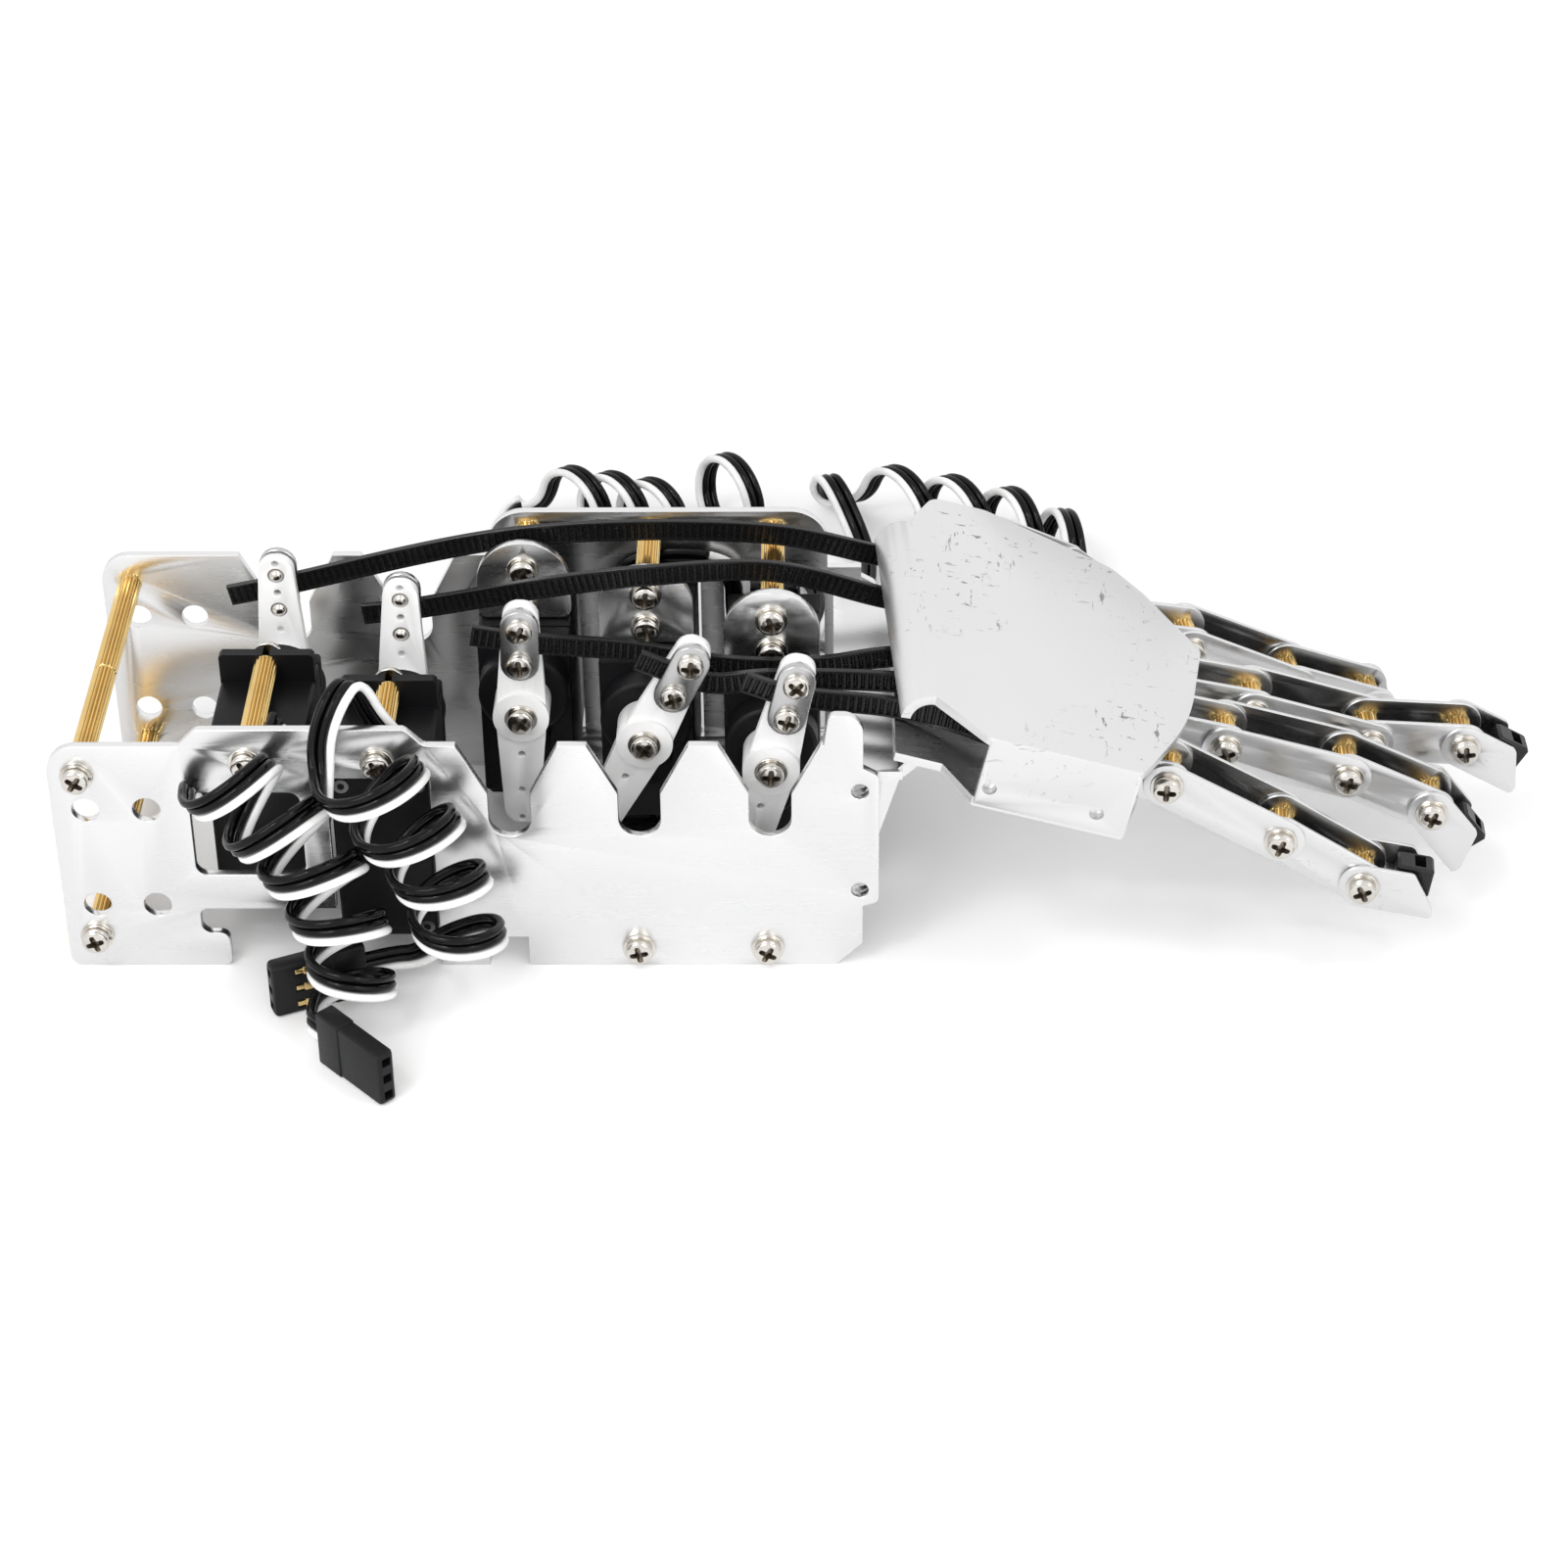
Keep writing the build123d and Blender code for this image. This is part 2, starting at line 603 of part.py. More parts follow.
def palm_cover():
    """Cover plate with a rolled rear edge, a deep near flange and a short far one."""
    plate = Pos(0, 0, -COVER_T) * extrude(palm_outline(COVER_EDGE), amount=COVER_T)
    near = wall(COVER_EDGE[11][:2], COVER_EDGE[10][:2], -COVER_FLANGE, -COVER_T / 2, COVER_T)
    for x in COVER_HOLES_X:
        hole = Pos(on_palm(x), COVER_EDGE[11][1], -COVER_HOLE_DROP) * Rot(90, 0, 0)
        near -= hole * Cylinder(0.9, 8)
    far = wall(COVER_FAR_END, COVER_EDGE[2][:2], -COVER_FAR_FLANGE, -COVER_T / 2, COVER_T)
    far += wall(COVER_EDGE[2][:2], COVER_EDGE[1][:2], -COVER_FAR_FLANGE, -COVER_T / 2, COVER_T)
    a = Vector(on_palm(COVER_EDGE[12][0]), COVER_EDGE[12][1])
    b = Vector(on_palm(COVER_EDGE[0][0]), COVER_EDGE[0][1])
    span = b - a
    frame = Plane(origin=a, x_dir=Vector(span.Y, -span.X), z_dir=(0, 0, 1)).location
    ring = Circle(COVER_ROLL) - Circle(COVER_ROLL - COVER_T)
    quarter = ring & (Pos(-COVER_ROLL / 2, COVER_ROLL / 2) * Rectangle(COVER_ROLL, COVER_ROLL))
    roll = extrude(Plane.XZ * (Pos(0, -COVER_ROLL) * quarter), amount=-span.length)
    return palm_frame() * (plate + near + far + frame * roll)


def palm_base():
    """Folded base: wrist web and flanges, a joggle, and the sloping web that bears the fingers."""
    web = Pos(0, 0, -WEB_DROP - WEB_T) * extrude(palm_outline(WEB_EDGE), amount=WEB_T)
    near = COVER_EDGE[11][:2], COVER_EDGE[10][:2]
    side = wall(*near, -WEB_DROP - WEB_T, BASE_SIDE - WEB_DROP, WEB_T, COVER_T)
    body = palm_frame() * (web + side)
    body += box(*WRIST_X, -PLATE_INNER, PLATE_INNER, WRIST_Z - WEB_T, WRIST_Z)
    body += slab(outline(*JOGGLE), WEB_EDGE[0][1], WEB_EDGE[-1][1])
    flange = outline(*WRIST_FLANGE)
    for z in EAR_HOLES_Z:
        flange -= Pos(EAR_HOLE_X, z) * Circle(HOLE_D / 2)
    body += slab(flange, -PLATE_INNER, WEB_T - PLATE_INNER)
    return body + slab(flange, PLATE_INNER - WEB_T, PLATE_INNER)


def knuckle_frame(x, y, splay):
    """Frame at a knuckle on the palm's web: X along the finger, Y along the pin."""
    height = CHANNEL_R - WEB_DROP
    return palm_frame() * Pos(on_palm(x), y, height) * Rot(0, 0, -splay)


def finger_frames(index):
    """Frames of one finger's metacarpal, proximal, middle and distal channels."""
    first = knuckle_frame(*KNUCKLES[index], SPLAY[index])
    second = first * Rot(0, PROXIMAL_PITCH[index] - SLOPE, 0)
    third = second * Pos(PROXIMAL, 0, 0) * Rot(0, MIDDLE_PITCH[index] - PROXIMAL_PITCH[index], 0)
    fourth = third * Pos(MIDDLE, 0, 0) * Rot(0, DISTAL_PITCH[index] - MIDDLE_PITCH[index], 0)
    return first, second, third, fourth


def thumb_frames():
    """Frames of the thumb's metacarpal, proximal and distal channels."""
    first = knuckle_frame(*THUMB_KNUCKLE, THUMB_SPLAY)
    second = first * Rot(0, THUMB_PITCH[0] - SLOPE, 0)
    third = second * Pos(THUMB_PROXIMAL, 0, 0) * Rot(0, THUMB_PITCH[1] - THUMB_PITCH[0], 0)
    return first, second, third


def cheek_pair(face, inside):
    """Two cheeks of a channel, inside apart."""
    near = slab(face, -inside / 2 - CHANNEL_T, -inside / 2)
    return near + slab(face, inside / 2, inside / 2 + CHANNEL_T)


def link(length, web, outer, tip=False, tail=False):
    """Channel link between two pins, open on its back; its web covers only its middle."""
    inside = SPACER + (2 * CHANNEL_T + 2 * CHANNEL_GAP if outer else 0)
    if tip:
        face = outline(
            (0, -CHANNEL_R), (length, -CHANNEL_R, 0.5), (length, DISTAL_NOSE_Z, 0.5),
            (DISTAL_TOP_X, CHANNEL_R, 1), (0, CHANNEL_R),
        )
        face += Circle(CHANNEL_R)
    elif tail:
        face = outline((-length, -CHANNEL_R), (0, -CHANNEL_R), (0, CHANNEL_R), (-length, CHANNEL_R, 2))
        face += Circle(CHANNEL_R)
    else:
        face = Pos(length / 2, 0) * SlotCenterToCenter(length, 2 * CHANNEL_R)
    face -= Circle(HOLE_D / 2)
    if not tip and not tail:
        face -= Pos(length, 0) * Circle(HOLE_D / 2)
    body = cheek_pair(face, inside)
    half = inside / 2 + CHANNEL_T
    return body + box(*web, -half, half, -CHANNEL_R, CHANNEL_T - CHANNEL_R)


def pin():
    """Spacer with a screw and washer at each end, on the Y axis."""
    spacer = rod(0, 0, -SPACER / 2, SPACER / 2, STANDOFF_D)
    spacer -= rod(0, 0, -SPACER / 2, SPACER / 2, BORE_D)
    seat = SPACER / 2 + 2 * CHANNEL_T + CHANNEL_GAP + WASHER_PLAY
    pieces = [spacer]
    pieces += screw(0, 0, seat, 1, PIN_SHANK)
    pieces += screw(0, 0, -seat, -1, PIN_SHANK)
    return pieces


def tie(number):
    """Cable tie from its tail at the horn to its head at the fingertip."""
    shaft_z = (FRONT_HOLE_Z if number < 2 else REAR_HOLE_Z) - SHAFT_DROP
    outward = 1 if number < 2 else -1
    level = EAR_BACK_Y[number] + outward * (ARM_TOP + TIE_T / 2)
    tilt = radians(HORN_TILT[number])
    grip = (SHAFT_X[number] + CLAMP_R * sin(tilt), level, shaft_z + CLAMP_R * cos(tilt))
    tail_x, tail_z = TIE_TAILS[number]
    up = (0, 0, 1)
    stations = [((tail_x, level, tail_z), up), (grip, up)]
    stations += [((x, y, z), up) for x, z, y in TIE_RUNS[number]]
    finger = TIE_FINGERS[number]
    frames = thumb_frames() if finger == "thumb" else finger_frames(FINGERS.index(finger))
    reach = THUMB_METACARPAL if finger == "thumb" else METACARPAL[FINGERS.index(finger)]
    entry = frames[0] * Pos(-reach, 0, -STRAP_DROP)
    across = Plane(entry).y_dir
    wrist = Vector(*stations[-1][0])
    halfway = wrist * 0.45 + entry.position * 0.55 + Vector(0, 0, STRAP_TWIST_LIFT)
    stations.append((tuple(halfway), tuple((across + Vector(*up)).normalized())))
    stations.append((tuple(entry.position), tuple(across)))
    for before, after in zip(frames, frames[1:]):
        lean = (Plane(before).z_dir + Plane(after).z_dir).normalized()
        stations.append((tuple(after.position - lean * STRAP_DROP), tuple(across)))
    last = frames[-1]
    rise = last * Pos(STRAP_RISE[0], 0, STRAP_RISE[1])
    spot = last * Pos(HEAD_SPOT[0], 0, HEAD_SPOT[1] - 0.6)
    stations.append((tuple(rise.position), tuple(across)))
    stations.append((tuple(spot.position), tuple(across)))
    head = Box(*TIE_HEAD) - Pos(0.5, 0, 0) * Box(1.4, 3.0 * 0.8, 2 * TIE_HEAD[2])
    return tape(stations) + last * Pos(HEAD_SPOT[0], 0, HEAD_SPOT[1]) * head


def cord(points, diameter, name):
    """Round tube along straight runs joined by arcs."""
    if len(points) > 2:
        lengths = [(Vector(*b) - Vector(*a)).length for a, b in zip(points, points[1:])]
        radii = []
        for index in range(1, len(points) - 1):
            back = (Vector(*points[index - 1]) - Vector(*points[index])).normalized()
            ahead = (Vector(*points[index + 1]) - Vector(*points[index])).normalized()
            half = radians(back.get_angle(ahead)) / 2
            room = 0.46 * min(lengths[index - 1], lengths[index])
            radii.append(round(min(BEND_R * 4, room * tan(half)), 2))
        print(name, "bend radii", radii)
        path = FilletPolyline(*points, radius=radii)
    else:
        path = Line(*points)
    start = Plane(origin=path @ 0, z_dir=path % 0)
    return sweep(start * Circle(diameter / 2), path=path)


def lead(number):
    """Servo lead: plain run, curly stretch, plain run."""
    coil_d, first, curly, last = LEADS[number]
    name = f"lead_{number + 1}"
    body = cord(first, LEAD_D, name)
    body += cord(curly, coil_d, name + " coil")
    for point in (curly[0], curly[-1]):
        body += Pos(*point) * Sphere(LEAD_D / 2)
    return body + cord(last, LEAD_D, name)


def plug(number):
    """Three-way plug standing on its long edge, its tail at the lead's end."""
    x, y, turn = PLUGS[number]
    place = Pos(x, y, PLUG_W / 2) * Rot(0, 0, turn)
    body = Pos(PLUG_L / 2 + PLUG_GAP, 0, 0) * Box(PLUG_L, PLUG_T, PLUG_W)
    for row in (-1, 0, 1):
        body -= Pos(PLUG_L, 0, row * 2.5) * Box(6, 0.9, 0.9)
    return place * body


os.makedirs("parts", exist_ok=True)

save("front_side_plate", front_side_plate())
save("rear_side_plate", rear_side_plate())
save("floor_plate", floor_plate())
save("palm_base", palm_base())
save("palm_cover", palm_cover())

bars = []
bar_screws = []
for bar_z in BAR_Z:
    bars += [standoff(BAR_X, bar_z, -PLATE_INNER, 0), standoff(BAR_X, bar_z, 0, PLATE_INNER)]
    for side in (-1, 1):
        bar_screws += screw(BAR_X, bar_z, side * PLATE_OUTER, side, PLATE_T + SHANK, 2)
save("end_standoffs", *bars)

posts = []
post_screws = []
brackets = []
nuts = []
for station, shaft_x in enumerate(SHAFT_X):
    ear_back = EAR_BACK_Y[station]
    if station < 2:
        posts.append(standoff(shaft_x, FRONT_HOLE_Z, -PLATE_INNER, ear_back))
        post_screws += screw(shaft_x, FRONT_HOLE_Z, -PLATE_OUTER, -1, PLATE_T + SHANK)
        post_screws += screw(shaft_x, FRONT_HOLE_Z, ear_back + EAR_T, 1, EAR_T + SHANK)
        continue
    post_z = REAR_HOLE_Z + BRACKET_RISE
    bracket_back = ear_back - EAR_T
    bracket_front = bracket_back - BRACKET_T
    posts.append(standoff(shaft_x, post_z, bracket_back, PLATE_INNER))
    post_screws += screw(shaft_x, post_z, PLATE_OUTER, 1, PLATE_T + SHANK)
    post_screws += screw(shaft_x, post_z, bracket_front, -1, BRACKET_T + SHANK)
    through = BRACKET_T + EAR_T + NUT_T
    post_screws += screw(shaft_x, REAR_HOLE_Z, bracket_front, -1, through)
    nut_face = Pos(shaft_x, REAR_HOLE_Z) * RegularPolygon(NUT_ACROSS / 2, 6, major_radius=False)
    nut_face -= Pos(shaft_x, REAR_HOLE_Z) * Circle(SCREW_D / 2)
    nuts.append(slab(nut_face, ear_back, ear_back + NUT_T))
    brackets.append(bracket(station))
save("servo_standoffs", *posts)
save("servo_brackets", *brackets)
save("servo_nuts", *nuts)

floor_screws = []
for screw_x in FLOOR_SCREW_X:
    for side in (-1, 1):
        floor_screws += screw(screw_x, FLOOR_SCREW_Z, side * PLATE_OUTER, side, PLATE_T + FLOOR_T)
save("frame_screws", *bar_screws, *floor_screws)
save("servo_screws", *post_screws)

for number in range(5):
    place = servo_frame(number)
    lean = HORN_TILT[number] if number < 2 else -HORN_TILT[number]
    turned = place * Rot(0, 0, lean)
    save(f"servo_{number + 1}", place * servo())
    save(f"horn_{number + 1}", turned * horn())
    save(f"horn_clamp_{number + 1}", turned * clamp(), *[turned * piece for piece in horn_screws()])
    save(f"tie_{number + 1}", tie(number))
    save(f"lead_{number + 1}", lead(number))
save("plugs", *[plug(number) for number in range(5)])

metacarpals = []
knuckle_pins = []
for index, finger_name in enumerate(FINGERS):
    frames = finger_frames(index)
    reach = METACARPAL[index]
    metacarpals.append(frames[0] * link(reach, (-reach, -WEB_X[0]), False, tail=True))
    knuckle_pins += [frames[0] * piece for piece in pin()]
    save(f"{finger_name}_proximal", frames[1] * link(PROXIMAL, WEB_X, True))
    save(f"{finger_name}_middle", frames[2] * link(MIDDLE, MIDDLE_WEB_X, False))
    save(f"{finger_name}_distal", frames[3] * link(DISTAL, DISTAL_WEB_X, True, tip=True))
    pins = [frames[2] * piece for piece in pin()] + [frames[3] * piece for piece in pin()]
    save(f"{finger_name}_pins", *pins)

frames = thumb_frames()
thumb_web = (-THUMB_METACARPAL, -WEB_X[0])
metacarpals.append(frames[0] * link(THUMB_METACARPAL, thumb_web, False, tail=True))
knuckle_pins += [frames[0] * piece for piece in pin()]
save("thumb_proximal", frames[1] * link(THUMB_PROXIMAL, WEB_X, True))
save("thumb_distal", frames[2] * link(THUMB_DISTAL, DISTAL_WEB_X, False, tip=True))
save("thumb_pins", *[frames[2] * piece for piece in pin()])
save("metacarpals", *metacarpals)
save("knuckle_pins", *knuckle_pins)
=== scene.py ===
import json
from math import cos, pi, radians, sin

import bmesh
import bpy
from mathutils import Matrix, Vector

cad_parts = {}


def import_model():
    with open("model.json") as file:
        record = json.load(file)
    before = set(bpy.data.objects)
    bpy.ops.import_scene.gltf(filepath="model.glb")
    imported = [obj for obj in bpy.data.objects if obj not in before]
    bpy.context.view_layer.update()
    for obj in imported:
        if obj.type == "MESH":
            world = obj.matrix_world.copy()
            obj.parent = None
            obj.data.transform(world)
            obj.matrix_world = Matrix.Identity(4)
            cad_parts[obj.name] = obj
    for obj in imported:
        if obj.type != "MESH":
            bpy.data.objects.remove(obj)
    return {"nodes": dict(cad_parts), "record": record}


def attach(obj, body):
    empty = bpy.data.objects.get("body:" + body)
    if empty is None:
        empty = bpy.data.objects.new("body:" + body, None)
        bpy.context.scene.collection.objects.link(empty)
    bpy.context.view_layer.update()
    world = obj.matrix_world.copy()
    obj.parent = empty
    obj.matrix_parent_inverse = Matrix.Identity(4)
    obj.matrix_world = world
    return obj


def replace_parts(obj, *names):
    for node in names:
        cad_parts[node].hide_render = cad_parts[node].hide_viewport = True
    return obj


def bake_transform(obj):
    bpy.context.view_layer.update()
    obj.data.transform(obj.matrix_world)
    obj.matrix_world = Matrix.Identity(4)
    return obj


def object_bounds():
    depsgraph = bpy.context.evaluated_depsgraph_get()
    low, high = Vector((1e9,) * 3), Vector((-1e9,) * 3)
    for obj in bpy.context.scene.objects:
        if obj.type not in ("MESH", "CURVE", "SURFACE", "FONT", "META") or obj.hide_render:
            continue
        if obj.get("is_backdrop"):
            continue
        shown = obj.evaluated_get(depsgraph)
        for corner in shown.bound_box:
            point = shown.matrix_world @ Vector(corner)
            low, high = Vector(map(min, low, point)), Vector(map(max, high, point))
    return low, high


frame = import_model()
CAD_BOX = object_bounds()
NODES = frame["nodes"]
BODY = {}
for body_name, held in frame["record"]["behaviour"]["bodies"].items():
    names = held["nodes"] if isinstance(held, dict) else held
    for node_name in names:
        BODY[node_name] = body_name

# Sizes are in millimetres counted from the forearm's rear end, as in part.py.
# SHIFT turns such a place into metres of the shared frame.
ORIGIN_X = 78.1
SHIFT = Matrix.Scale(0.001, 4) @ Matrix.Translation((-ORIGIN_X, 0, 0))


def tree(made):
    return made.node_tree.nodes, made.node_tree.links


# Camera, light and floor
def camera():
    data = bpy.data.cameras.new("camera")
    data.lens = 90.664
    data.sensor_width = 36
    data.clip_start = 0.01
    data.clip_end = 20
    shot = bpy.data.objects.new("camera", data)
    right = (0.99990397, 0.01051876, -0.00902248)
    down = (-0.00146957, -0.56690461, -0.82378213)
    ahead = (-0.01378005, 0.82371628, -0.56683471)
    place = (0.02012, -0.42631, 0.30534)
    rows = [(right[i], -down[i], -ahead[i], place[i]) for i in range(3)]
    shot.matrix_world = Matrix(rows + [(0, 0, 0, 1)])
    bpy.context.scene.collection.objects.link(shot)
    bpy.context.scene.camera = shot


def lamp(name, place, aim, size, power, mirrored=True):
    data = bpy.data.lights.new(name, "AREA")
    data.shape = "RECTANGLE"
    data.size, data.size_y = size
    data.energy = power
    lit = bpy.data.objects.new(name, data)
    lit.location = place
    lit.visible_glossy = mirrored
    lit.rotation_euler = (Vector(aim) - Vector(place)).to_track_quat("-Z", "Y").to_euler()
    bpy.context.scene.collection.objects.link(lit)


def world():
    """Soft light on the object, and plain white where a camera, glossy or clear ray leaves."""
    made = bpy.data.worlds.new("studio")
    bpy.context.scene.world = made
    made.use_nodes = True
    nodes, links = tree(made)
    nodes.clear()
    out = nodes.new("ShaderNodeOutputWorld")
    mix = nodes.new("ShaderNodeMixShader")
    path = nodes.new("ShaderNodeLightPath")
    share = path.outputs["Is Camera Ray"]
    for ray in ("Is Glossy Ray", "Is Transmission Ray"):
        either = nodes.new("ShaderNodeMath")
        either.operation = "MAXIMUM"
        links.new(share, either.inputs[0])
        links.new(path.outputs[ray], either.inputs[1])
        share = either.outputs[0]
    links.new(share, mix.inputs[0])
    for socket, strength in ((1, 0.80), (2, 1.0)):
        glow = nodes.new("ShaderNodeBackground")
        glow.inputs["Color"].default_value = (1, 1, 1, 1)
        glow.inputs["Strength"].default_value = strength
        links.new(glow.outputs[0], mix.inputs[socket])
    links.new(mix.outputs[0], out.inputs[0])


def floor():
    material = bpy.data.materials.new("studio_floor")
    material.use_nodes = True
    nodes, links = tree(material)
    shader = nodes["Principled BSDF"]
    shader.inputs["Roughness"].default_value = 0.75
    shader.inputs["Specular IOR Level"].default_value = 0.15
    path = nodes.new("ShaderNodeLightPath")
    tint = nodes.new("ShaderNodeMix")
    tint.data_type = "RGBA"
    tint.inputs["A"].default_value = (0.86, 0.86, 0.865, 1)
    tint.inputs["B"].default_value = (1.0, 1.0, 1.0, 1)
    links.new(path.outputs["Is Camera Ray"], tint.inputs["Factor"])
    links.new(tint.outputs["Result"], shader.inputs["Base Color"])
    lift = nodes.new("ShaderNodeMath")
    lift.operation = "MULTIPLY"
    lift.inputs[1].default_value = 0.02
    links.new(path.outputs["Is Camera Ray"], lift.inputs[0])
    shader.inputs["Emission Color"].default_value = (1, 1, 1, 1)
    links.new(lift.outputs[0], shader.inputs["Emission Strength"])
    mesh = bpy.data.meshes.new("studio_floor")
    half = 4.0
    corners = [(-half, -half, 0), (half, -half, 0), (half, half, 0), (-half, half, 0)]
    mesh.from_pydata(corners, [], [(0, 1, 2, 3)])
    mesh.materials.append(material)
    ground = bpy.data.objects.new("studio_floor", mesh)
    ground.location = (0, 0, -0.00002)
    bpy.context.scene.collection.objects.link(ground)
    ground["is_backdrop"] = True


camera()
world()
floor()
lamp("key_light", (-0.42, -0.55, 0.62), (0.02, 0, 0.01), (0.5, 0.5), 2.1)
lamp("fill_light", (0.6, -0.6, 0.5), (0.02, 0, 0.01), (0.6, 0.5), 1.2)
lamp("front_light", (0.0, -0.75, 0.32), (0.02, 0, 0.02), (0.6, 0.4), 2.2, False)
lamp("spark_left", (-0.25, -0.35, 0.7), (0.0, 0, 0.02), (0.1, 0.1), 0.5)
lamp("spark_right", (0.35, -0.2, 0.7), (0.0, 0, 0.02), (0.1, 0.1), 0.35)
bpy.context.scene.view_settings.view_transform = "Standard"


# Materials
def material(name, color, metallic=0.0, roughness=0.5, **extra):
    made = bpy.data.materials.new(name)
    made.use_nodes = True
    shader = made.node_tree.nodes["Principled BSDF"]
    shader.inputs["Base Color"].default_value = (*color, 1)
    shader.inputs["Metallic"].default_value = metallic
    shader.inputs["Roughness"].default_value = roughness
    for socket, value in extra.items():
        shader.inputs[socket.replace("_", " ")].default_value = value
    made.diffuse_color = (*color, 1)
    return made


def texture(made, kind, scale, stretch=(1, 1, 1), **values):
    """Texture node on the object's own coordinates, which are metres."""
    nodes, links = tree(made)
    spot = nodes.new("ShaderNodeTexCoord")
    turn = nodes.new("ShaderNodeMapping")
    turn.inputs["Scale"].default_value = stretch
    links.new(spot.outputs["Object"], turn.inputs["Vector"])
    node = nodes.new(kind)
    node.inputs["Scale"].default_value = scale
    for socket, value in values.items():
        node.inputs[socket.replace("_", " ")].default_value = value
    links.new(turn.outputs["Vector"], node.inputs["Vector"])
    return node


def ramp(made, source, stops):
    nodes, links = tree(made)
    node = nodes.new("ShaderNodeValToRGB")
    while len(node.color_ramp.elements) < len(stops):
        node.color_ramp.elements.new(0.5)
    for element, (place, value) in zip(node.color_ramp.elements, stops):
        element.position = place
        shade = value if isinstance(value, tuple) else (value, value, value)
        element.color = (*shade, 1)
    links.new(source, node.inputs["Fac"])
    return node.outputs["Color"]


def feed(made, output, socket):
    made.node_tree.links.new(output, made.node_tree.nodes["Principled BSDF"].inputs[socket])


def bump(made, output, strength, distance):
    nodes, links = tree(made)
    last = made.node_tree.nodes["Principled BSDF"].inputs["Normal"]
    node = nodes.new("ShaderNodeBump")
    node.inputs["Strength"].default_value = strength
    node.inputs["Distance"].default_value = distance
    links.new(output, node.inputs["Height"])
    if last.is_linked:
        links.new(last.links[0].from_socket, node.inputs["Normal"])
    links.new(node.outputs["Normal"], last)


def multiply(made, first, second):
    nodes, links = tree(made)
    node = nodes.new("ShaderNodeMix")
    node.data_type = "RGBA"
    node.blend_type = "MULTIPLY"
    node.inputs["Factor"].default_value = 1
    links.new(first, node.inputs["A"])
    links.new(second, node.inputs["B"])
    return node.outputs["Result"]


# Fine specks and short scratches along two directions: scale, stretch, and the noise level
# where a mark starts and where it is full.
MARKS = (
    (560.0, (1, 1, 1), 0.65, 0.68),
    (170.0, (1, 6, 7), 0.635, 0.66),
    (150.0, (6, 1.2, 5), 0.635, 0.66),
)


def sheet_metal(name, tone, rough, marks, grain=(60, 900, 900)):
    """Brushed sheet: its tone, roughness, how dark its marks are, and the stretch of the grain."""
    made = material(name, (tone, tone, tone), 1.0, rough)
    nodes, links = tree(made)
    lines = texture(made, "ShaderNodeTexNoise", 1.0, grain, Detail=4.0, Roughness=0.6)
    cloud = texture(made, "ShaderNodeTexNoise", 45.0, Detail=3.0)
    shade = ramp(made, cloud.outputs["Fac"], ((0.3, tone * 0.97), (0.7, tone)))
    patch = texture(made, "ShaderNodeTexNoise", 60.0, Detail=2.0)
    where = ramp(made, patch.outputs["Fac"], ((0.48, 0.0), (0.60, 1.0)))
    for scale, stretch, low, high in MARKS if marks else ():
        spots = texture(made, "ShaderNodeTexNoise", scale, stretch, Detail=4.0, Roughness=0.7)
        dark = ramp(made, spots.outputs["Fac"], ((low, 1.0), (high, 1.0 - marks)))
        keep = nodes.new("ShaderNodeMix")
        keep.data_type = "RGBA"
        keep.inputs["A"].default_value = (1, 1, 1, 1)
        links.new(where, keep.inputs["Factor"])
        links.new(dark, keep.inputs["B"])
        shade = multiply(made, shade, keep.outputs["Result"])
    feed(made, shade, "Base Color")
    stops = ((0.3, rough - 0.015), (0.7, rough + 0.015))
    feed(made, ramp(made, lines.outputs["Fac"], stops), "Roughness")
    bump(made, lines.outputs["Fac"], 0.02, 0.00002)
    return made


def plastic(name, color, rough, grain, strength, **extra):
    made = material(name, color, 0.0, rough, **extra)
    fine = texture(made, "ShaderNodeTexNoise", grain, Detail=3.0)
    wide = texture(made, "ShaderNodeTexNoise", 120.0, Detail=2.0)
    low = tuple(c * 0.85 for c in color)
    high = tuple(min(1.0, c * 1.12) for c in color)
    feed(made, ramp(made, wide.outputs["Fac"], ((0.3, low), (0.7, high))), "Base Color")
    stops = ((0.3, rough - 0.05), (0.7, rough + 0.06))
    feed(made, ramp(made, fine.outputs["Fac"], stops), "Roughness")
    bump(made, fine.outputs["Fac"], strength, 0.00003)
    return made


def plated(name, color, rough, wear):
    made = material(name, color, 1.0, rough)
    cloud = texture(made, "ShaderNodeTexNoise", 260.0, Detail=2.0)
    low = tuple(c * wear for c in color)
    feed(made, ramp(made, cloud.outputs["Fac"], ((0.35, low), (0.62, color))), "Base Color")
    feed(made, ramp(made, cloud.outputs["Fac"], ((0.3, rough + 0.05), (0.7, rough))), "Roughness")
    return made


ALUMINIUM = sheet_metal("satin_aluminium", 0.84, 0.28, 0.0)
CHEEK = sheet_metal("finger_aluminium", 0.76, 0.30, 0.12, (90, 700, 700))
SHADED = sheet_metal("shaded_aluminium", 0.50, 0.24, 0.0, (90, 700, 700))
COVER = sheet_metal("cover_aluminium", 0.80, 0.42, 0.62, (50, 400, 400))
BRASS = plated("knurled_brass", (0.84, 0.60, 0.24), 0.2, 0.92)
# Darker brass on the knurl's groove faces: painted shade in the grooves, the same brass as the lands.
GROOVE_SHADE = plated("brass_groove_painted_shade", (0.36, 0.20, 0.05), 0.35, 0.9)
NICKEL = plated("nickel_plate", (0.72, 0.69, 0.64), 0.15, 0.9)
# Dark colour on the screw heads' cross recesses: painted shade inside the recess, which is the same
# plating as the head.
RECESS_SHADE = plated("screw_recess_painted_shade", (0.26, 0.23, 0.19), 0.3, 0.8)
LINK = sheet_metal("link_steel", 0.56, 0.28, 0.0, (400, 400, 400))
DARK_STEEL = plated("small_screw_steel", (0.30, 0.30, 0.30), 0.3, 0.9)
GOLD = plated("gold_contact", (0.90, 0.66, 0.30), 0.25, 0.9)
CASE = plastic("servo_moulding", (0.0065, 0.0065, 0.0075), 0.42, 2600.0, 0.4, Specular_IOR_Level=0.2)
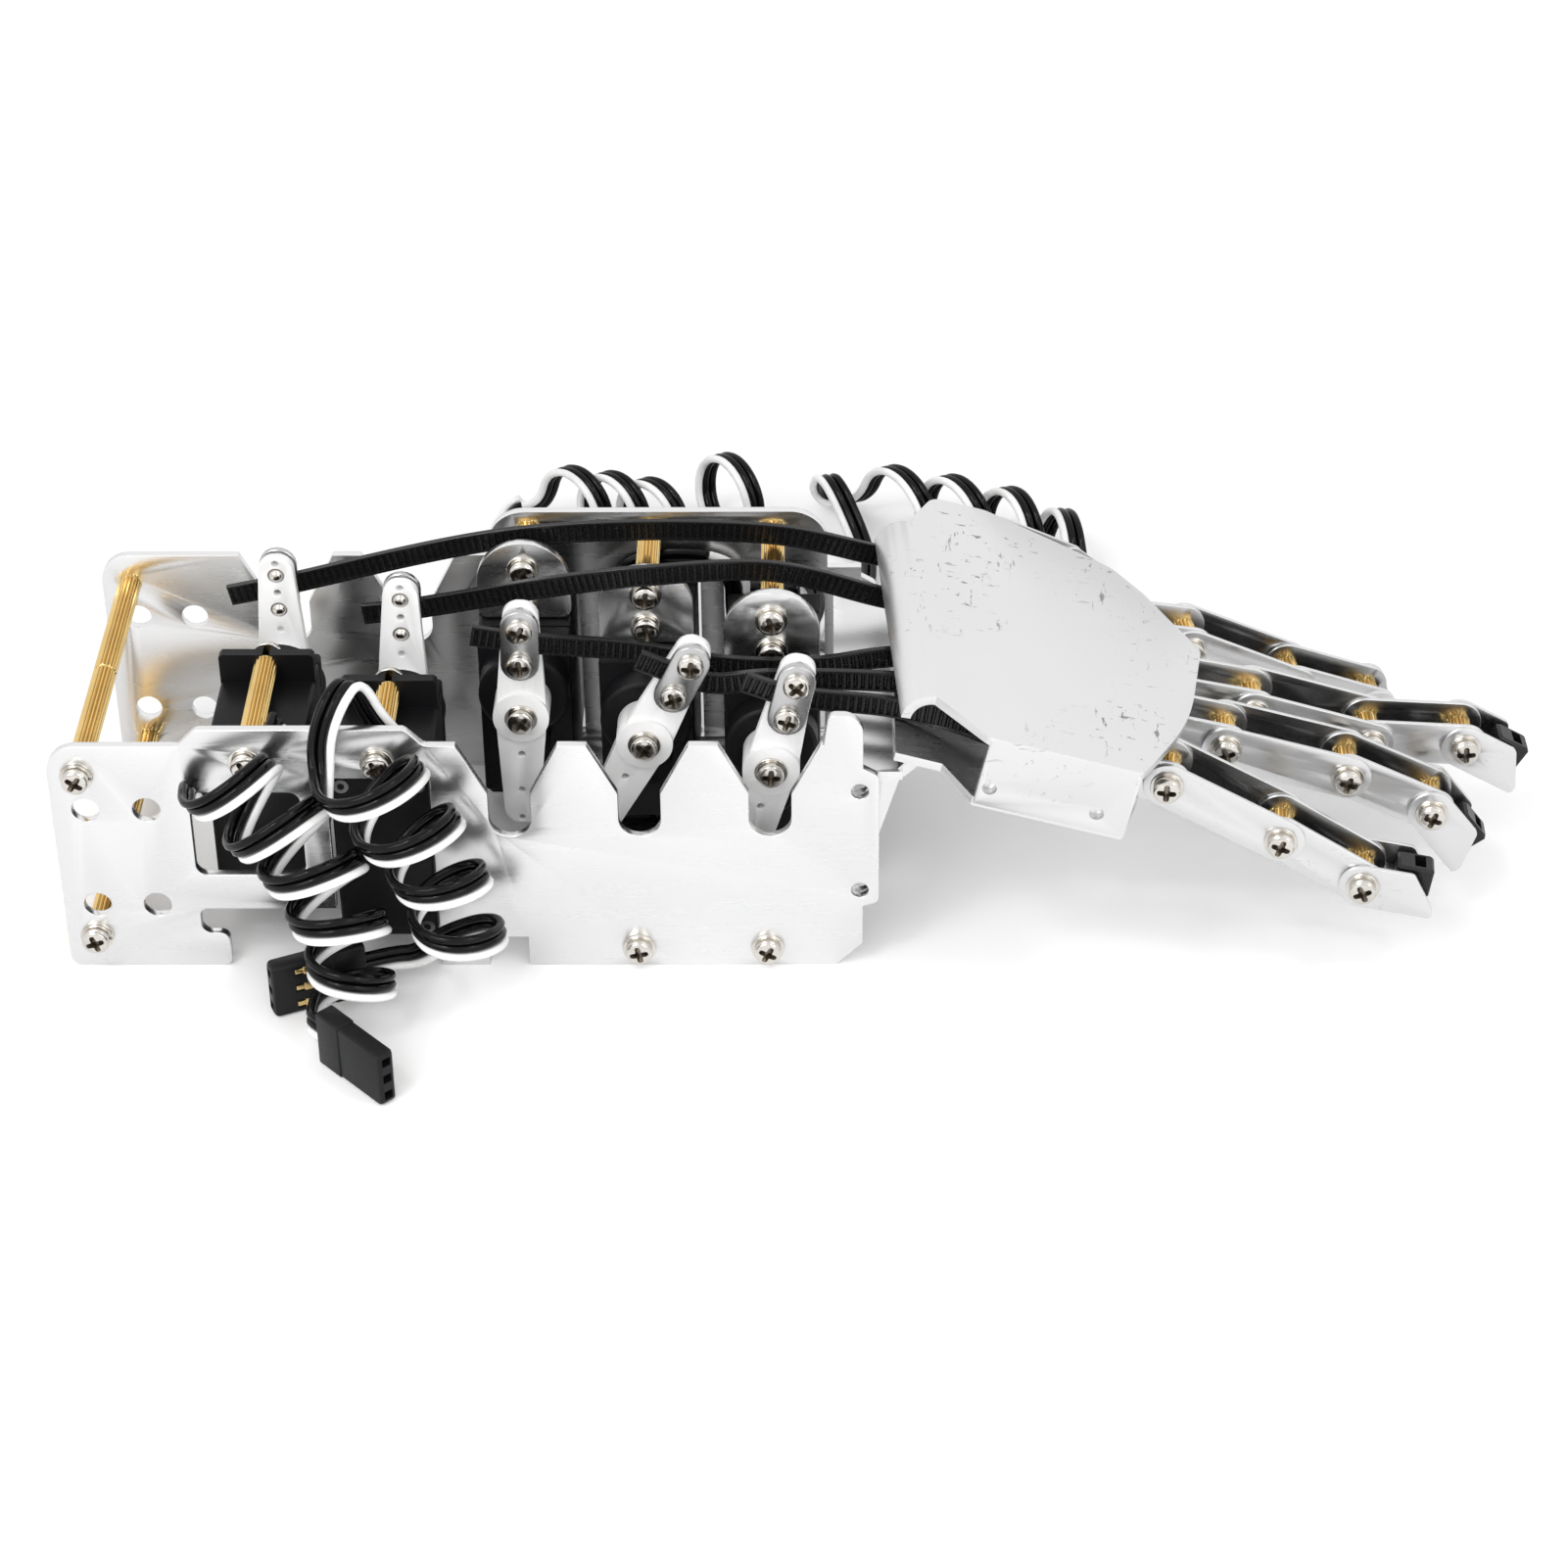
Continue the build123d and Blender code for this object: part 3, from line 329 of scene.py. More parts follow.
NYLON = plastic("milky_nylon", (0.97, 0.97, 0.96), 0.36, 1500.0, 0.1, Subsurface_Weight=0.3)
milk = NYLON.node_tree.nodes["Principled BSDF"]
milk.inputs["Subsurface Radius"].default_value = (0.0012, 0.0012, 0.0012)
STRAP = plastic("black_nylon_strap", (0.007, 0.007, 0.0075), 0.28, 2200.0, 0.2, Specular_IOR_Level=0.38)
WIRE_BLACK = plastic("black_wire", (0.003, 0.003, 0.0035), 0.12, 900.0, 0.04, Specular_IOR_Level=0.2)
WIRE_WHITE = plastic("white_wire", (0.90, 0.90, 0.89), 0.24, 900.0, 0.05)
PLUG_BLACK = plastic("plug_moulding", (0.008, 0.008, 0.009), 0.36, 2400.0, 0.3, Specular_IOR_Level=0.22)


# Mesh building, in millimetres
class Shape:
    """Points and faces gathered for one piece; looks holds each face's material index."""

    def __init__(self):
        self.points = []
        self.faces = []
        self.looks = []

    def add(self, part, place=None, look=0):
        points, faces = part
        base = len(self.points)
        if place is None:
            self.points += [tuple(p) for p in points]
        else:
            self.points += [tuple(place @ Vector(p)) for p in points]
        self.faces += [tuple(base + i for i in face) for face in faces]
        self.looks += [look] * len(faces)


def sharpen(mesh, degrees):
    for polygon in mesh.polygons:
        polygon.use_smooth = True
    mesh.set_sharp_from_angle(angle=radians(degrees))


def face_outward(mesh):
    clean = bmesh.new()
    clean.from_mesh(mesh)
    bmesh.ops.recalc_face_normals(clean, faces=clean.faces)
    clean.to_mesh(mesh)
    clean.free()


def show(name, shape, looks, body, degrees=35):
    mesh = bpy.data.meshes.new(name)
    points = [tuple(SHIFT @ Vector(p)) for p in shape.points]
    mesh.from_pydata(points, [], shape.faces)
    for look in looks:
        mesh.materials.append(look)
    for polygon, look in zip(mesh.polygons, shape.looks):
        polygon.material_index = look
    face_outward(mesh)
    sharpen(mesh, degrees)
    made = bpy.data.objects.new(name, mesh)
    bpy.context.scene.collection.objects.link(made)
    if body:
        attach(made, body)
    return made


def loft(loops, closed=False):
    """Skin over loops of equal count, capped unless it closes on itself."""
    count = len(loops[0])
    points = [p for loop in loops for p in loop]
    faces = []
    rows = len(loops) if closed else len(loops) - 1
    for row in range(rows):
        low = row * count
        high = ((row + 1) % len(loops)) * count
        for i in range(count):
            j = (i + 1) % count
            faces.append((low + i, low + j, high + j, high + i))
    if not closed:
        faces.append(tuple(reversed(range(count))))
        faces.append(tuple(range((len(loops) - 1) * count, len(loops) * count)))
    return points, faces


def ring(radius, z, count, phase=0.0):
    angles = [phase + 2 * pi * i / count for i in range(count)]
    return [(radius * cos(angle), radius * sin(angle), z) for angle in angles]


def turned(profile, count):
    """Turned part on the Z axis from (radius, z) pairs."""
    return loft([ring(radius, z, count) for radius, z in profile])


def round_box(x0, x1, y0, y1, z, r, arc=4):
    """Rectangular loop with round corners at one height."""
    centres = ((x1 - r, y1 - r, 0), (x0 + r, y1 - r, 90), (x0 + r, y0 + r, 180), (x1 - r, y0 + r, 270))
    loop = []
    for cx, cy, start in centres:
        for i in range(arc + 1):
            angle = radians(start + 90 * i / arc)
            loop.append((cx + r * cos(angle), cy + r * sin(angle), z))
    return loop


def block(x0, x1, y0, y1, z0, z1, r=0.4, edge=0.2, arc=4):
    """Block with round upright corners and rounded top and bottom edges."""
    loops = []
    steps = 3
    for level, up, order in ((z0, 1, range(steps + 1)), (z1, -1, range(steps, -1, -1))):
        for i in order:
            angle = radians(90 * i / steps)
            a = edge * (1 - sin(angle))
            z = level + up * edge * (1 - cos(angle))
            loops.append(round_box(x0 + a, x1 - a, y0 + a, y1 - a, z, max(r - a, 0.02), arc))
    return loft(loops)


def rot(axis, degrees):
    return Matrix.Rotation(radians(degrees), 4, axis)


def at(x, y, z):
    return Matrix.Translation((x, y, z))


# Fasteners
def cut(body, tool):
    """Mesh data of body minus tool."""
    made = []
    for part in (body, tool):
        mesh = bpy.data.meshes.new("part")
        mesh.from_pydata(part[0], [], part[1])
        face_outward(mesh)
        thing = bpy.data.objects.new("part", mesh)
        bpy.context.scene.collection.objects.link(thing)
        made.append(thing)
    change = made[0].modifiers.new("cut", "BOOLEAN")
    change.operation = "DIFFERENCE"
    change.solver = "EXACT"
    change.object = made[1]
    graph = bpy.context.evaluated_depsgraph_get()
    result = bpy.data.meshes.new_from_object(made[0].evaluated_get(graph))
    points = [tuple(v.co) for v in result.vertices]
    faces = [tuple(p.vertices) for p in result.polygons]
    for thing in made:
        bpy.data.objects.remove(thing)
    bpy.data.meshes.remove(result)
    return points, faces


def cross(length, width, z):
    """Plus-shaped loop with waisted arms."""
    near, far = (length * 0.8, width * 0.92), (length, width * 0.55)
    arm = ((width, -width), (near[0], -near[1]), (far[0], -far[1]), far, near)
    loop = []
    for quarter in range(4):
        turn = rot("Z", 90 * quarter)
        for x, y in arm:
            loop.append(tuple(turn @ Vector((x, y, z))))
    return loop


def pan_head():
    """Head mesh, and the same mesh's recess faces as a second part."""
    side = [(1.56, 0.0), (1.66, 0.05), (1.69, 0.16), (1.69, 0.80)]
    crown = [(1.65, 0.96), (1.53, 1.10), (1.30, 1.20), (0.9, 1.26), (0.25, 1.29)]
    dome = turned(side + crown, 32)
    recess = loft([cross(0.62, 0.22, 0.30), cross(1.08, 0.34, 1.0), cross(1.40, 0.44, 1.6)])
    points, faces = cut(dome, recess)
    outside, inside = [], []
    for face in faces:
        centre = sum((Vector(points[i]) for i in face), Vector()) / len(face)
        reach = Vector((centre.x, centre.y)).length
        deep = 0.2 < centre.z < 1.17 and reach < 1.22
        (inside if deep else outside).append(face)
    return points, outside, inside


def washer(outer, inner, thick, lip=0.06):
    edge = outer - lip
    profile = ((inner, 0), (edge, 0), (outer, lip), (outer, thick - lip), (edge, thick), (inner, thick))
    return loft([ring(radius, z, 28) for radius, z in profile], closed=True)


def spring_washer(outer, inner, thick, rise):
    section = ((inner, 0), (outer, 0), (outer, thick), (inner, thick))
    loops = []
    steps = 30
    for i in range(steps + 1):
        angle = radians(8 + 344 * i / steps)
        lift = rise * i / steps
        way = Vector((cos(angle), sin(angle), 0))
        loops.append([tuple(way * radius + Vector((0, 0, lift + z))) for radius, z in section])
    return loft(loops)


def nut(across=4.0):
    outer = across / 2 / cos(pi / 6)
    levels = ((0.93, 0), (1.0, 0.14), (1.0, 1.46), (0.93, 1.6))
    return loft([ring(outer * scale, z, 6, pi / 6) for scale, z in levels])


def knurled(length, teeth=18):
    """Spacer on the Z axis with a smooth chamfer at each end: its lands, then its grooves."""
    n = teeth * 4
    outer, depth = 1.5, 0.2

    def toothed(z):
        loop = []
        for i in range(n):
            radius = (outer, outer, outer - depth, outer - depth)[i % 4]
            angle = 2 * pi * i / n
            loop.append((radius * cos(angle), radius * sin(angle), z))
        return loop

    start = [ring(1.28, 0, n), ring(1.36, 0.06, n), toothed(0.24)]
    end = [toothed(length - 0.24), ring(1.36, length - 0.06, n), ring(1.28, length, n)]
    points, faces = loft(start + end)
    lands, grooves = [], []
    for k, face in enumerate(faces):
        sunk = 2 * n <= k < 3 * n and k % n % 4 == 2
        (grooves if sunk else lands).append(face)
    return points, lands, grooves


PAN_HEAD = pan_head()
FLAT = washer(2.1, 1.1, 0.38, 0.05)
SPRING = spring_washer(1.95, 1.12, 0.32, 0.08)
NUT = nut()


def along(x, y, z, outward):
    """Frame at a point whose Z is outward along Y."""
    return at(x, y, z) @ rot("X", -90 * outward)


def two_tone(shape, part, place, look, other):
    """Adds a part of points and two lists of faces, each list with its own material."""
    points, faces, more = part
    start = len(shape.points)
    shape.add((points, faces), place, look)
    shape.faces += [tuple(start + i for i in face) for face in more]
    shape.looks += [other] * len(more)


def fasten(shape, place, turn=0.0, washers=("flat",), look=0, recess=1):
    """Washers and a pan head stacked on place's Z axis."""
    level = 0.0
    for kind in washers:
        shape.add(FLAT if kind == "flat" else SPRING, place @ at(0, 0, level), look)
        level += WASHER_T
    two_tone(shape, PAN_HEAD, place @ at(0, 0, level) @ rot("Z", turn), look, recess)


# Sizes from part.py
PLATE_OUTER, PLATE_INNER = 23.3, 22.1
SHAFT_X = (24.8, 41.1, 57.2, 73.4, 89.7)
FRONT_HOLE_Z, REAR_HOLE_Z = 31.3, 32.8
EAR_BACK_Y = (-0.75, -6.85, 14.4, 8.3, 2.2)
HORN_TILT = (0.0, 2.0, 2.0, 26.0, 13.5)
SHAFT_DROP = 9.45
EAR_T = 1.5
BRACKET_T = 1.2
BRACKET_RISE = 4.9
ARM_BASE, ARM_TOP = 13.8, 15.3
TIE_W, TIE_T = 2.9, 0.8
CLAMP_R, CLAMP_PITCH, CLAMP_W, CLAMP_LENGTH, CLAMP_T = 11.6, 5.2, 4.9, 10.4, 0.9
HUB_TOP = 15.9
SCREW_TIP = 0.5
WASHER_T = 0.4
BAR_X, BAR_Z = 3.7, (4.8, 29.4)
FLOOR_SCREW_X, FLOOR_SCREW_Z = (72.8, 89.2), 2.7
SPACER = 4.6
PIN_SEAT = SPACER / 2 + 1.2 + 0.05 + 0.02
SLOPE = 12.5
PALM_X, COVER_Z = 115.9, 39.05
WEB_DROP = 9.76
CHANNEL_R = 3.0
PROXIMAL, MIDDLE = 16.2, 12.2
FINGERS = ("little", "ring", "middle", "index")
KNUCKLES = ((140.8, -19.0), (148.8, -8.05), (153.1, 1.5), (145.5, 14.0))
SPLAY = (6.0, 2.0, -1.0, -8.0)
PROXIMAL_PITCH = (26.7, 14.8, 17.5, 27.3)
MIDDLE_PITCH = (30.3, 25.0, 4.0, 22.3)
DISTAL_PITCH = (8.0, 52.0, 30.0, 76.0)
METACARPAL = (17.5, 22.0, 25.0, 19.0)
THUMB_PROXIMAL = 13.4
STRAP_DROP = 1.98


def palm_frame():
    down = (cos(radians(SLOPE)), 0, -sin(radians(SLOPE)))
    out = (sin(radians(SLOPE)), 0, cos(radians(SLOPE)))
    rows = [(down[i], (0, 1, 0)[i], out[i], (PALM_X, 0, COVER_Z)[i]) for i in range(3)]
    return Matrix(rows + [(0, 0, 0, 1)])


def knuckle_frame(x, y, splay):
    run = (x - PALM_X) / cos(radians(SLOPE))
    return palm_frame() @ at(run, y, CHANNEL_R - WEB_DROP) @ rot("Z", -splay)


def finger_frames(index):
    first = knuckle_frame(*KNUCKLES[index], SPLAY[index])
    second = first @ rot("Y", PROXIMAL_PITCH[index] - SLOPE)
    third = second @ at(PROXIMAL, 0, 0) @ rot("Y", MIDDLE_PITCH[index] - PROXIMAL_PITCH[index])
    fourth = third @ at(MIDDLE, 0, 0) @ rot("Y", DISTAL_PITCH[index] - MIDDLE_PITCH[index])
    return first, second, third, fourth


def thumb_frames():
    first = knuckle_frame(122.0, 27.5, -25.0)
    second = first @ rot("Y", 35.0 - SLOPE)
    third = second @ at(THUMB_PROXIMAL, 0, 0) @ rot("Y", 10.0)
    return first, second, third


def servo_frame(number):
    hole = FRONT_HOLE_Z if number < 2 else REAR_HOLE_Z
    side = 1 if number < 2 else -1
    spot = (SHAFT_X[number], EAR_BACK_Y[number], hole - SHAFT_DROP)
    columns = ((0, 0, 1), (side, 0, 0), (0, side, 0), spot)
    rows = [tuple(column[i] for column in columns) for i in range(3)]
    return Matrix(rows + [(0, 0, 0, 1)])


def horn_frame(number):
    lean = HORN_TILT[number] if number < 2 else -HORN_TILT[number]
    return servo_frame(number) @ rot("Z", lean)


# Servo leads: three wires side by side, their curly stretch wound round the route
def spline(points, detail=24):
    """Points along a NURBS curve through the route's control points, in millimetres."""
    curve = bpy.data.curves.new("route", "CURVE")
    curve.dimensions = "3D"
    curve.resolution_u = detail
    line = curve.splines.new("NURBS")
    line.points.add(len(points) - 1)
    for spot, place in zip(line.points, points):
        metres = SHIFT @ Vector(place)
        spot.co = (*metres, 1)
    line.order_u = 3
    line.use_endpoint_u = True
    thing = bpy.data.objects.new("route", curve)
    mesh = bpy.data.meshes.new_from_object(thing)
    back = SHIFT.inverted()
    found = [back @ v.co for v in mesh.vertices]
    bpy.data.objects.remove(thing)
    bpy.data.meshes.remove(mesh)
    return found


def even_places(points, step):
    """(index, share of the way to the next point) at even steps along a line of points."""
    lengths = [0.0]
    for a, b in zip(points, points[1:]):
        lengths.append(lengths[-1] + (b - a).length)
    count = max(2, round(lengths[-1] / step))
    index = 0
    for i in range(count + 1):
        want = lengths[-1] * i / count
        while index < len(points) - 2 and lengths[index + 1] < want:
            index += 1
        span = lengths[index + 1] - lengths[index]
        share = 0 if span < 1e-9 else (want - lengths[index]) / span
        yield index, min(1, max(0, share))


def resample(points, step):
    return [points[i].lerp(points[i + 1], share) for i, share in even_places(points, step)]


def nearest(points, place):
    place = Vector(place)
    return min(range(len(points)), key=lambda i: (points[i] - place).length)


def ease(share):
    share = min(1.0, max(0.0, share))
    return share * share * (3 - 2 * share)


PER_TURN = 48
COIL_START = radians(-90)
WIRE_R = 0.58
WIRE_PITCH = 1.16
# Path places over which a lead twists between its coil and a plain run.
TWIST = 36


def wind(given):
    """Path of a lead, its width direction at each place, and where its coil starts and ends.
    The coil is wound round the line of its axis, and plain runs lead into and out of it."""
    axis = spline(given["axis"], 60)
    turns = given["turns"]
    run = sum((b - a).length for a, b in zip(axis, axis[1:]))
    line = [axis[0]] + resample(axis, run / round(PER_TURN * turns))[1:]
    count = len(line) - 1
    stops = given["radii"]
    coil = []
    way = []
    for i, place in enumerate(line):
        ahead = (line[min(i + 4, count)] - line[max(i - 4, 0)]).normalized()
        share = i / count
        across = Vector(given["front"])
        across = (across - ahead * across.dot(ahead)).normalized()
        side = (ahead.cross(across) * given["handed"] + ahead * given["lean"]).normalized()
        normal = side.cross(across)
        below = [stop for stop in stops if stop[0] <= share] or stops[:1]
        above = [stop for stop in stops if stop[0] > share] or stops[-1:]
        (s0, r0), (s1, r1) = below[-1], above[0]
        radius = r0 + (r1 - r0) * (ease((share - s0) / (s1 - s0)) if s1 > s0 else 0)
        angle = COIL_START + 2 * pi * turns * share
        coil.append(place + (across * cos(angle) + side * sin(angle)) * radius)
        way.append(normal if normal.dot(ahead) > 0 else -normal)
    into = (coil[1] - coil[0]).normalized()
    out = (coil[-1] - coil[-2]).normalized()
    reach_in, reach_out = given["reach"]
    first = resample(spline(given["first"] + (coil[0] - into * reach_in, coil[0])), 0.25)
    last = resample(spline((coil[-1], coil[-1] + out * reach_out) + given["last"]), 0.25)
    path = first[:-1] + coil + last[1:]
    wide = [way[0]] * (len(first) - 1) + way + [way[-1]] * (len(last) - 1)
    return path, wide, len(first) - 1, len(first) - 2 + len(coil)


def wires(path, wide, first, last, before, after, white):
    """Three round wires side by side along a path. Their common width lies along the coil's
    axis in the curly stretch and along the given directions before and after it."""
    fine = resample_with(path, wide, 0.4)
    total = len(fine)
    wants = []
    heads = []
    for i, (place, axis, share) in enumerate(fine):
        ahead = (fine[min(i + 1, total - 1)][0] - fine[max(i - 1, 0)][0]).normalized()
        want = axis
        if share < first:
            want = Vector(before).lerp(axis, ease(1 - (first - share) / TWIST))
        elif share > last:
            want = Vector(after).lerp(axis, ease(1 - (share - last) / TWIST))
        want = want - ahead * want.dot(ahead)
        if want.length < 0.2:
            want = wants[-1] if wants else Vector((0, 0, 1)) - ahead * ahead.z
        wants.append(want.normalized())
        heads.append(ahead)
    for _ in range(3):
        smoother = []
        for i in range(total):
            nearby = (wants[min(max(i + k, 0), total - 1)] for k in range(-6, 7))
            smoother.append(sum(nearby, Vector()).normalized())
        wants = smoother
    shape = Shape()
    rims = 8
    angles = [2 * pi * j / rims for j in range(rims)]
    for k, offset in enumerate((-WIRE_PITCH, 0.0, WIRE_PITCH)):
        loops = []
        for (place, _, _), want, ahead in zip(fine, wants, heads):
            want = (want - ahead * want.dot(ahead)).normalized()
            up = ahead.cross(want)
            centre = place + want * offset
            rim = [centre + want * WIRE_R * cos(a) + up * WIRE_R * sin(a) for a in angles]
            loops.append([tuple(place) for place in rim])
        shape.add(loft(loops), None, 1 if k == white else 0)
    return shape


def resample_with(path, wide, step):
    """(place, width direction, index in the path) at even steps along a path."""
    result = []
    for i, share in even_places(path, step):
        place = path[i].lerp(path[i + 1], share)
        result.append((place, wide[i].lerp(wide[i + 1], share), i + share))
    return result


# Control points of the run before the coil, of the coil's axis and of the run after it; how far
# the runs reach straight from the coil; (share, radius) stops along the coil; which wire is white.
# front and handed set how the coil is wound, lean tips its turns over, and before and after are
# the flat lead's width directions at its two ends.
BESIDE = dict(front=(0, -1, 0), handed=-1, lean=0.0, after=(0, 0, -1))
BEHIND = dict(front=(0, 0, 1), handed=1, lean=0.9, before=(1, 0, 0), after=(0, 0, 1))
LEADS = (
    dict(
        BESIDE,
        first=(
            (27.8, -13.35, 30.8), (27.8, -18.7, 30.8), (23.0, -19.2, 24.2), (18.9, -21.6, 23.6),
            (18.2, -24.6, 25.6),
        ),
        axis=(
            (22.3, -29.2, 33.7), (24.3, -29.7, 31.7), (30.4, -30.9, 26.6), (34.6, -32.6, 19.9),
            (37.3, -34.8, 13.1), (37.9, -36.6, 6.3), (37.6, -37.2, 3.2),
        ),
        last=((33.0, -40.5, 3.9), (34.8, -42.4, 3.9)),
        reach=(3.0, 2.4), white=2,
        radii=((0.05, 5.2), (0.25, 5.9), (0.45, 5.6), (0.65, 5.4), (0.85, 4.9)),
        turns=5.0, before=(0.6, 0, -1),
    ),
    dict(
        BESIDE,
        first=(
            (44.1, -19.45, 30.8), (41.0, -18.6, 33.5), (38.6, -19.8, 41.6), (36.8, -24.0, 41.4),
            (34.9, -26.2, 37.0),
        ),
        axis=(
            (40.2, -31.0, 35.5), (41.6, -31.2, 33.4), (46.4, -31.4, 25.8), (49.8, -31.8, 18.6),
            (51.1, -32.2, 11.6), (51.5, -32.4, 8.9),
        ),
        last=((45.0, -26.0, 3.4), (41.4, -26.95, 3.9), (38.2, -28.4, 3.9)),
        reach=(2.6, 3.0), radii=((0.067, 5.9), (0.33, 5.8), (0.60, 5.3), (0.87, 5.2)), white=2,
        turns=3.75, before=(1, 0, -0.3),
    ),
    dict(
        BEHIND,
        first=(
            (54.2, 27.0, 32.3), (54.2, 33.0, 32.3), (50.0, 46.0, 1.9), (48.6, 77.0, 1.9),
            (48.6, 89.6, 1.9),
        ),
        axis=((57.6, 83.7, 6.2), (63.5, 83.2, 6.0), (72.1, 82.8, 5.0)),
        last=((76.0, 75.0, 1.9), (71.6, 68.7, 3.9), (70.0, 66.0, 3.9)),
        reach=(4.3, 3.0), radii=((0.1, 4.5), (0.5, 4.2), (1.0, 3.8)), white=0,
        turns=2.5,
    ),
    dict(
        BEHIND,
        first=(
            (70.4, 20.8, 31.1), (70.4, 20.8, 33.6), (84.9, 20.8, 33.6), (84.9, 20.8, 24.0),
            (84.9, 33.0, 18.0), (92.0, 46.0, 1.9), (97.0, 62.0, 1.9), (91.5, 72.5, 1.9),
        ),
        axis=((83.1, 84.0, 6.8), (81.6, 84.3, 6.9), (80.1, 84.6, 7.0)),
        last=((82.6, 76.0, 1.9), (83.2, 68.8, 3.9), (84.0, 66.0, 3.9)),
        reach=(4.7, 3.0), radii=((0.1, 5.4), (0.5, 5.4), (1.0, 5.0)), white=2,
        turns=0.75,
    ),
    dict(
        BEHIND,
        first=(
            (86.7, 14.8, 32.3), (91.5, 14.8, 32.3), (91.5, 20.2, 32.3), (91.5, 20.2, 17.0),
            (92.5, 33.0, 14.0), (99.0, 46.0, 1.9), (102.5, 68.0, 1.9), (101.8, 77.5, 1.9),
            (96.6, 84.2, 11.2), (95.0, 92.0, 1.9),
        ),
        axis=((105.2, 84.2, 6.0), (118.7, 80.6, 5.8), (127.9, 77.0, 5.4), (133.2, 71.8, 4.6)),
        last=((133.6, 63.0, 1.9), (129.8, 60.2, 3.9), (128.0, 58.0, 3.9)),
        reach=(4.1, 3.0), radii=((0.1, 4.5), (1.0, 4.0)), white=0,
        turns=3.5,
    ),
)
# Each plug's tail end and the direction it points in, in degrees.
PLUGS = (
    (34.8, -42.4, -46.5), (38.2, -28.4, 204.5), (70.0, 66.0, 239.7), (84.0, 66.0, 285.8),
    (128.0, 58.0, 230.5),
)
PLUG_AXIS_Z = 3.9


def plug(number):
    """Three-way housing on its long edge: collar at the tail, open sockets at the far end."""
    x, y, turn = PLUGS[number]
    place = at(x, y, PLUG_AXIS_Z) @ rot("Z", turn) @ rot("Y", 90)
    shape = Shape()
    gap, length, thick, height = 0.06, 12.3, 2.7, 7.8
    t, h = thick / 2, height / 2
    low, high = 4.4, length + gap
    shape.add(block(-h, h, -t, t, gap, low, 0.35, 0.18), place)
    s = 0.14
    levels = ((s, low - 0.3), (s, high - 0.55), (s + 0.12, high - 0.2), (s + 0.4, high))
    housing = loft([round_box(-h + a, h - a, -t + a, t - a, z, 0.3, 4) for a, z in levels])
    ways = [row * 2.5 for row in (-1, 0, 1)]
    for w in ways:
        ends = (high - 2.2, high + 1)
        hole = loft([round_box(w - 0.62, w + 0.62, -0.62, 0.62, z, 0.1, 2) for z in ends])
        housing = cut(housing, hole)
        ends = (high - 6.2, high - 3.0)
        window = loft([round_box(w - 0.6, w + 0.6, t - 0.42, t + 0.5, z, 0.08, 2) for z in ends])
        housing = cut(housing, window)
    shape.add(housing, place)
    for w in ways:
        crimp = block(w - 0.56, w + 0.56, t - 0.45, t - 0.05, high - 6.1, high - 4.1, 0.1, 0.08, 2)
        stem = block(w - 0.34, w + 0.34, t - 0.45, t - 0.12, high - 4.3, high - 3.05, 0.08, 0.06, 2)
        mouth = block(w - 0.4, w + 0.4, -0.4, 0.4, high - 2.3, high - 1.9, 0.1, 0.05, 2)
        for contact in (crimp, stem, mouth):
            shape.add(contact, place, 1)
    return show(f"plug_{number + 1}", shape, [PLUG_BLACK, GOLD], "forearm")


def lead(number):
    given = LEADS[number]
    path, wide, first, last = wind(given)
    shape = wires(path, wide, first, last, given["before"], given["after"], given["white"])
    looks = [WIRE_BLACK, WIRE_WHITE]
    made = show(f"lead_{number + 1}_wires", shape, looks, "forearm", 60)
    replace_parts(made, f"lead_{number + 1}")
    metres = [SHIFT @ p for p in path]
    length = sum((b - a).length for a, b in zip(metres, metres[1:]))
    return made, metres, length


PLUG_PIECES = [plug(number) for number in range(5)]
for plug_piece in PLUG_PIECES:
    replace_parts(plug_piece, "plugs")
for number in range(5):
    wired, metres, length = lead(number)
    print("lead", number + 1, "length", round(length, 4))
    tuple(metres[0])
    [tuple(p) for p in metres]


# Sheet parts: the CAD's own shape with broken edges
CHEEK_INNER_Y = 0.00395
# The fold of the cover's near flange, which gets a bend radius: longer, nearer and higher than this.
FOLD_LENGTH, FOLD_Y, FOLD_Z = 0.0165, -29.2, 35


def is_inner(face, inner):
    """Whether a face of a finger link looks at the link's middle plane."""
    side = (inner @ face.calc_center_median()).y
    facing = (inner.to_3x3() @ face.normal).y
    return abs(side) < CHEEK_INNER_Y and facing * side < 0 and abs(facing) > 0.9


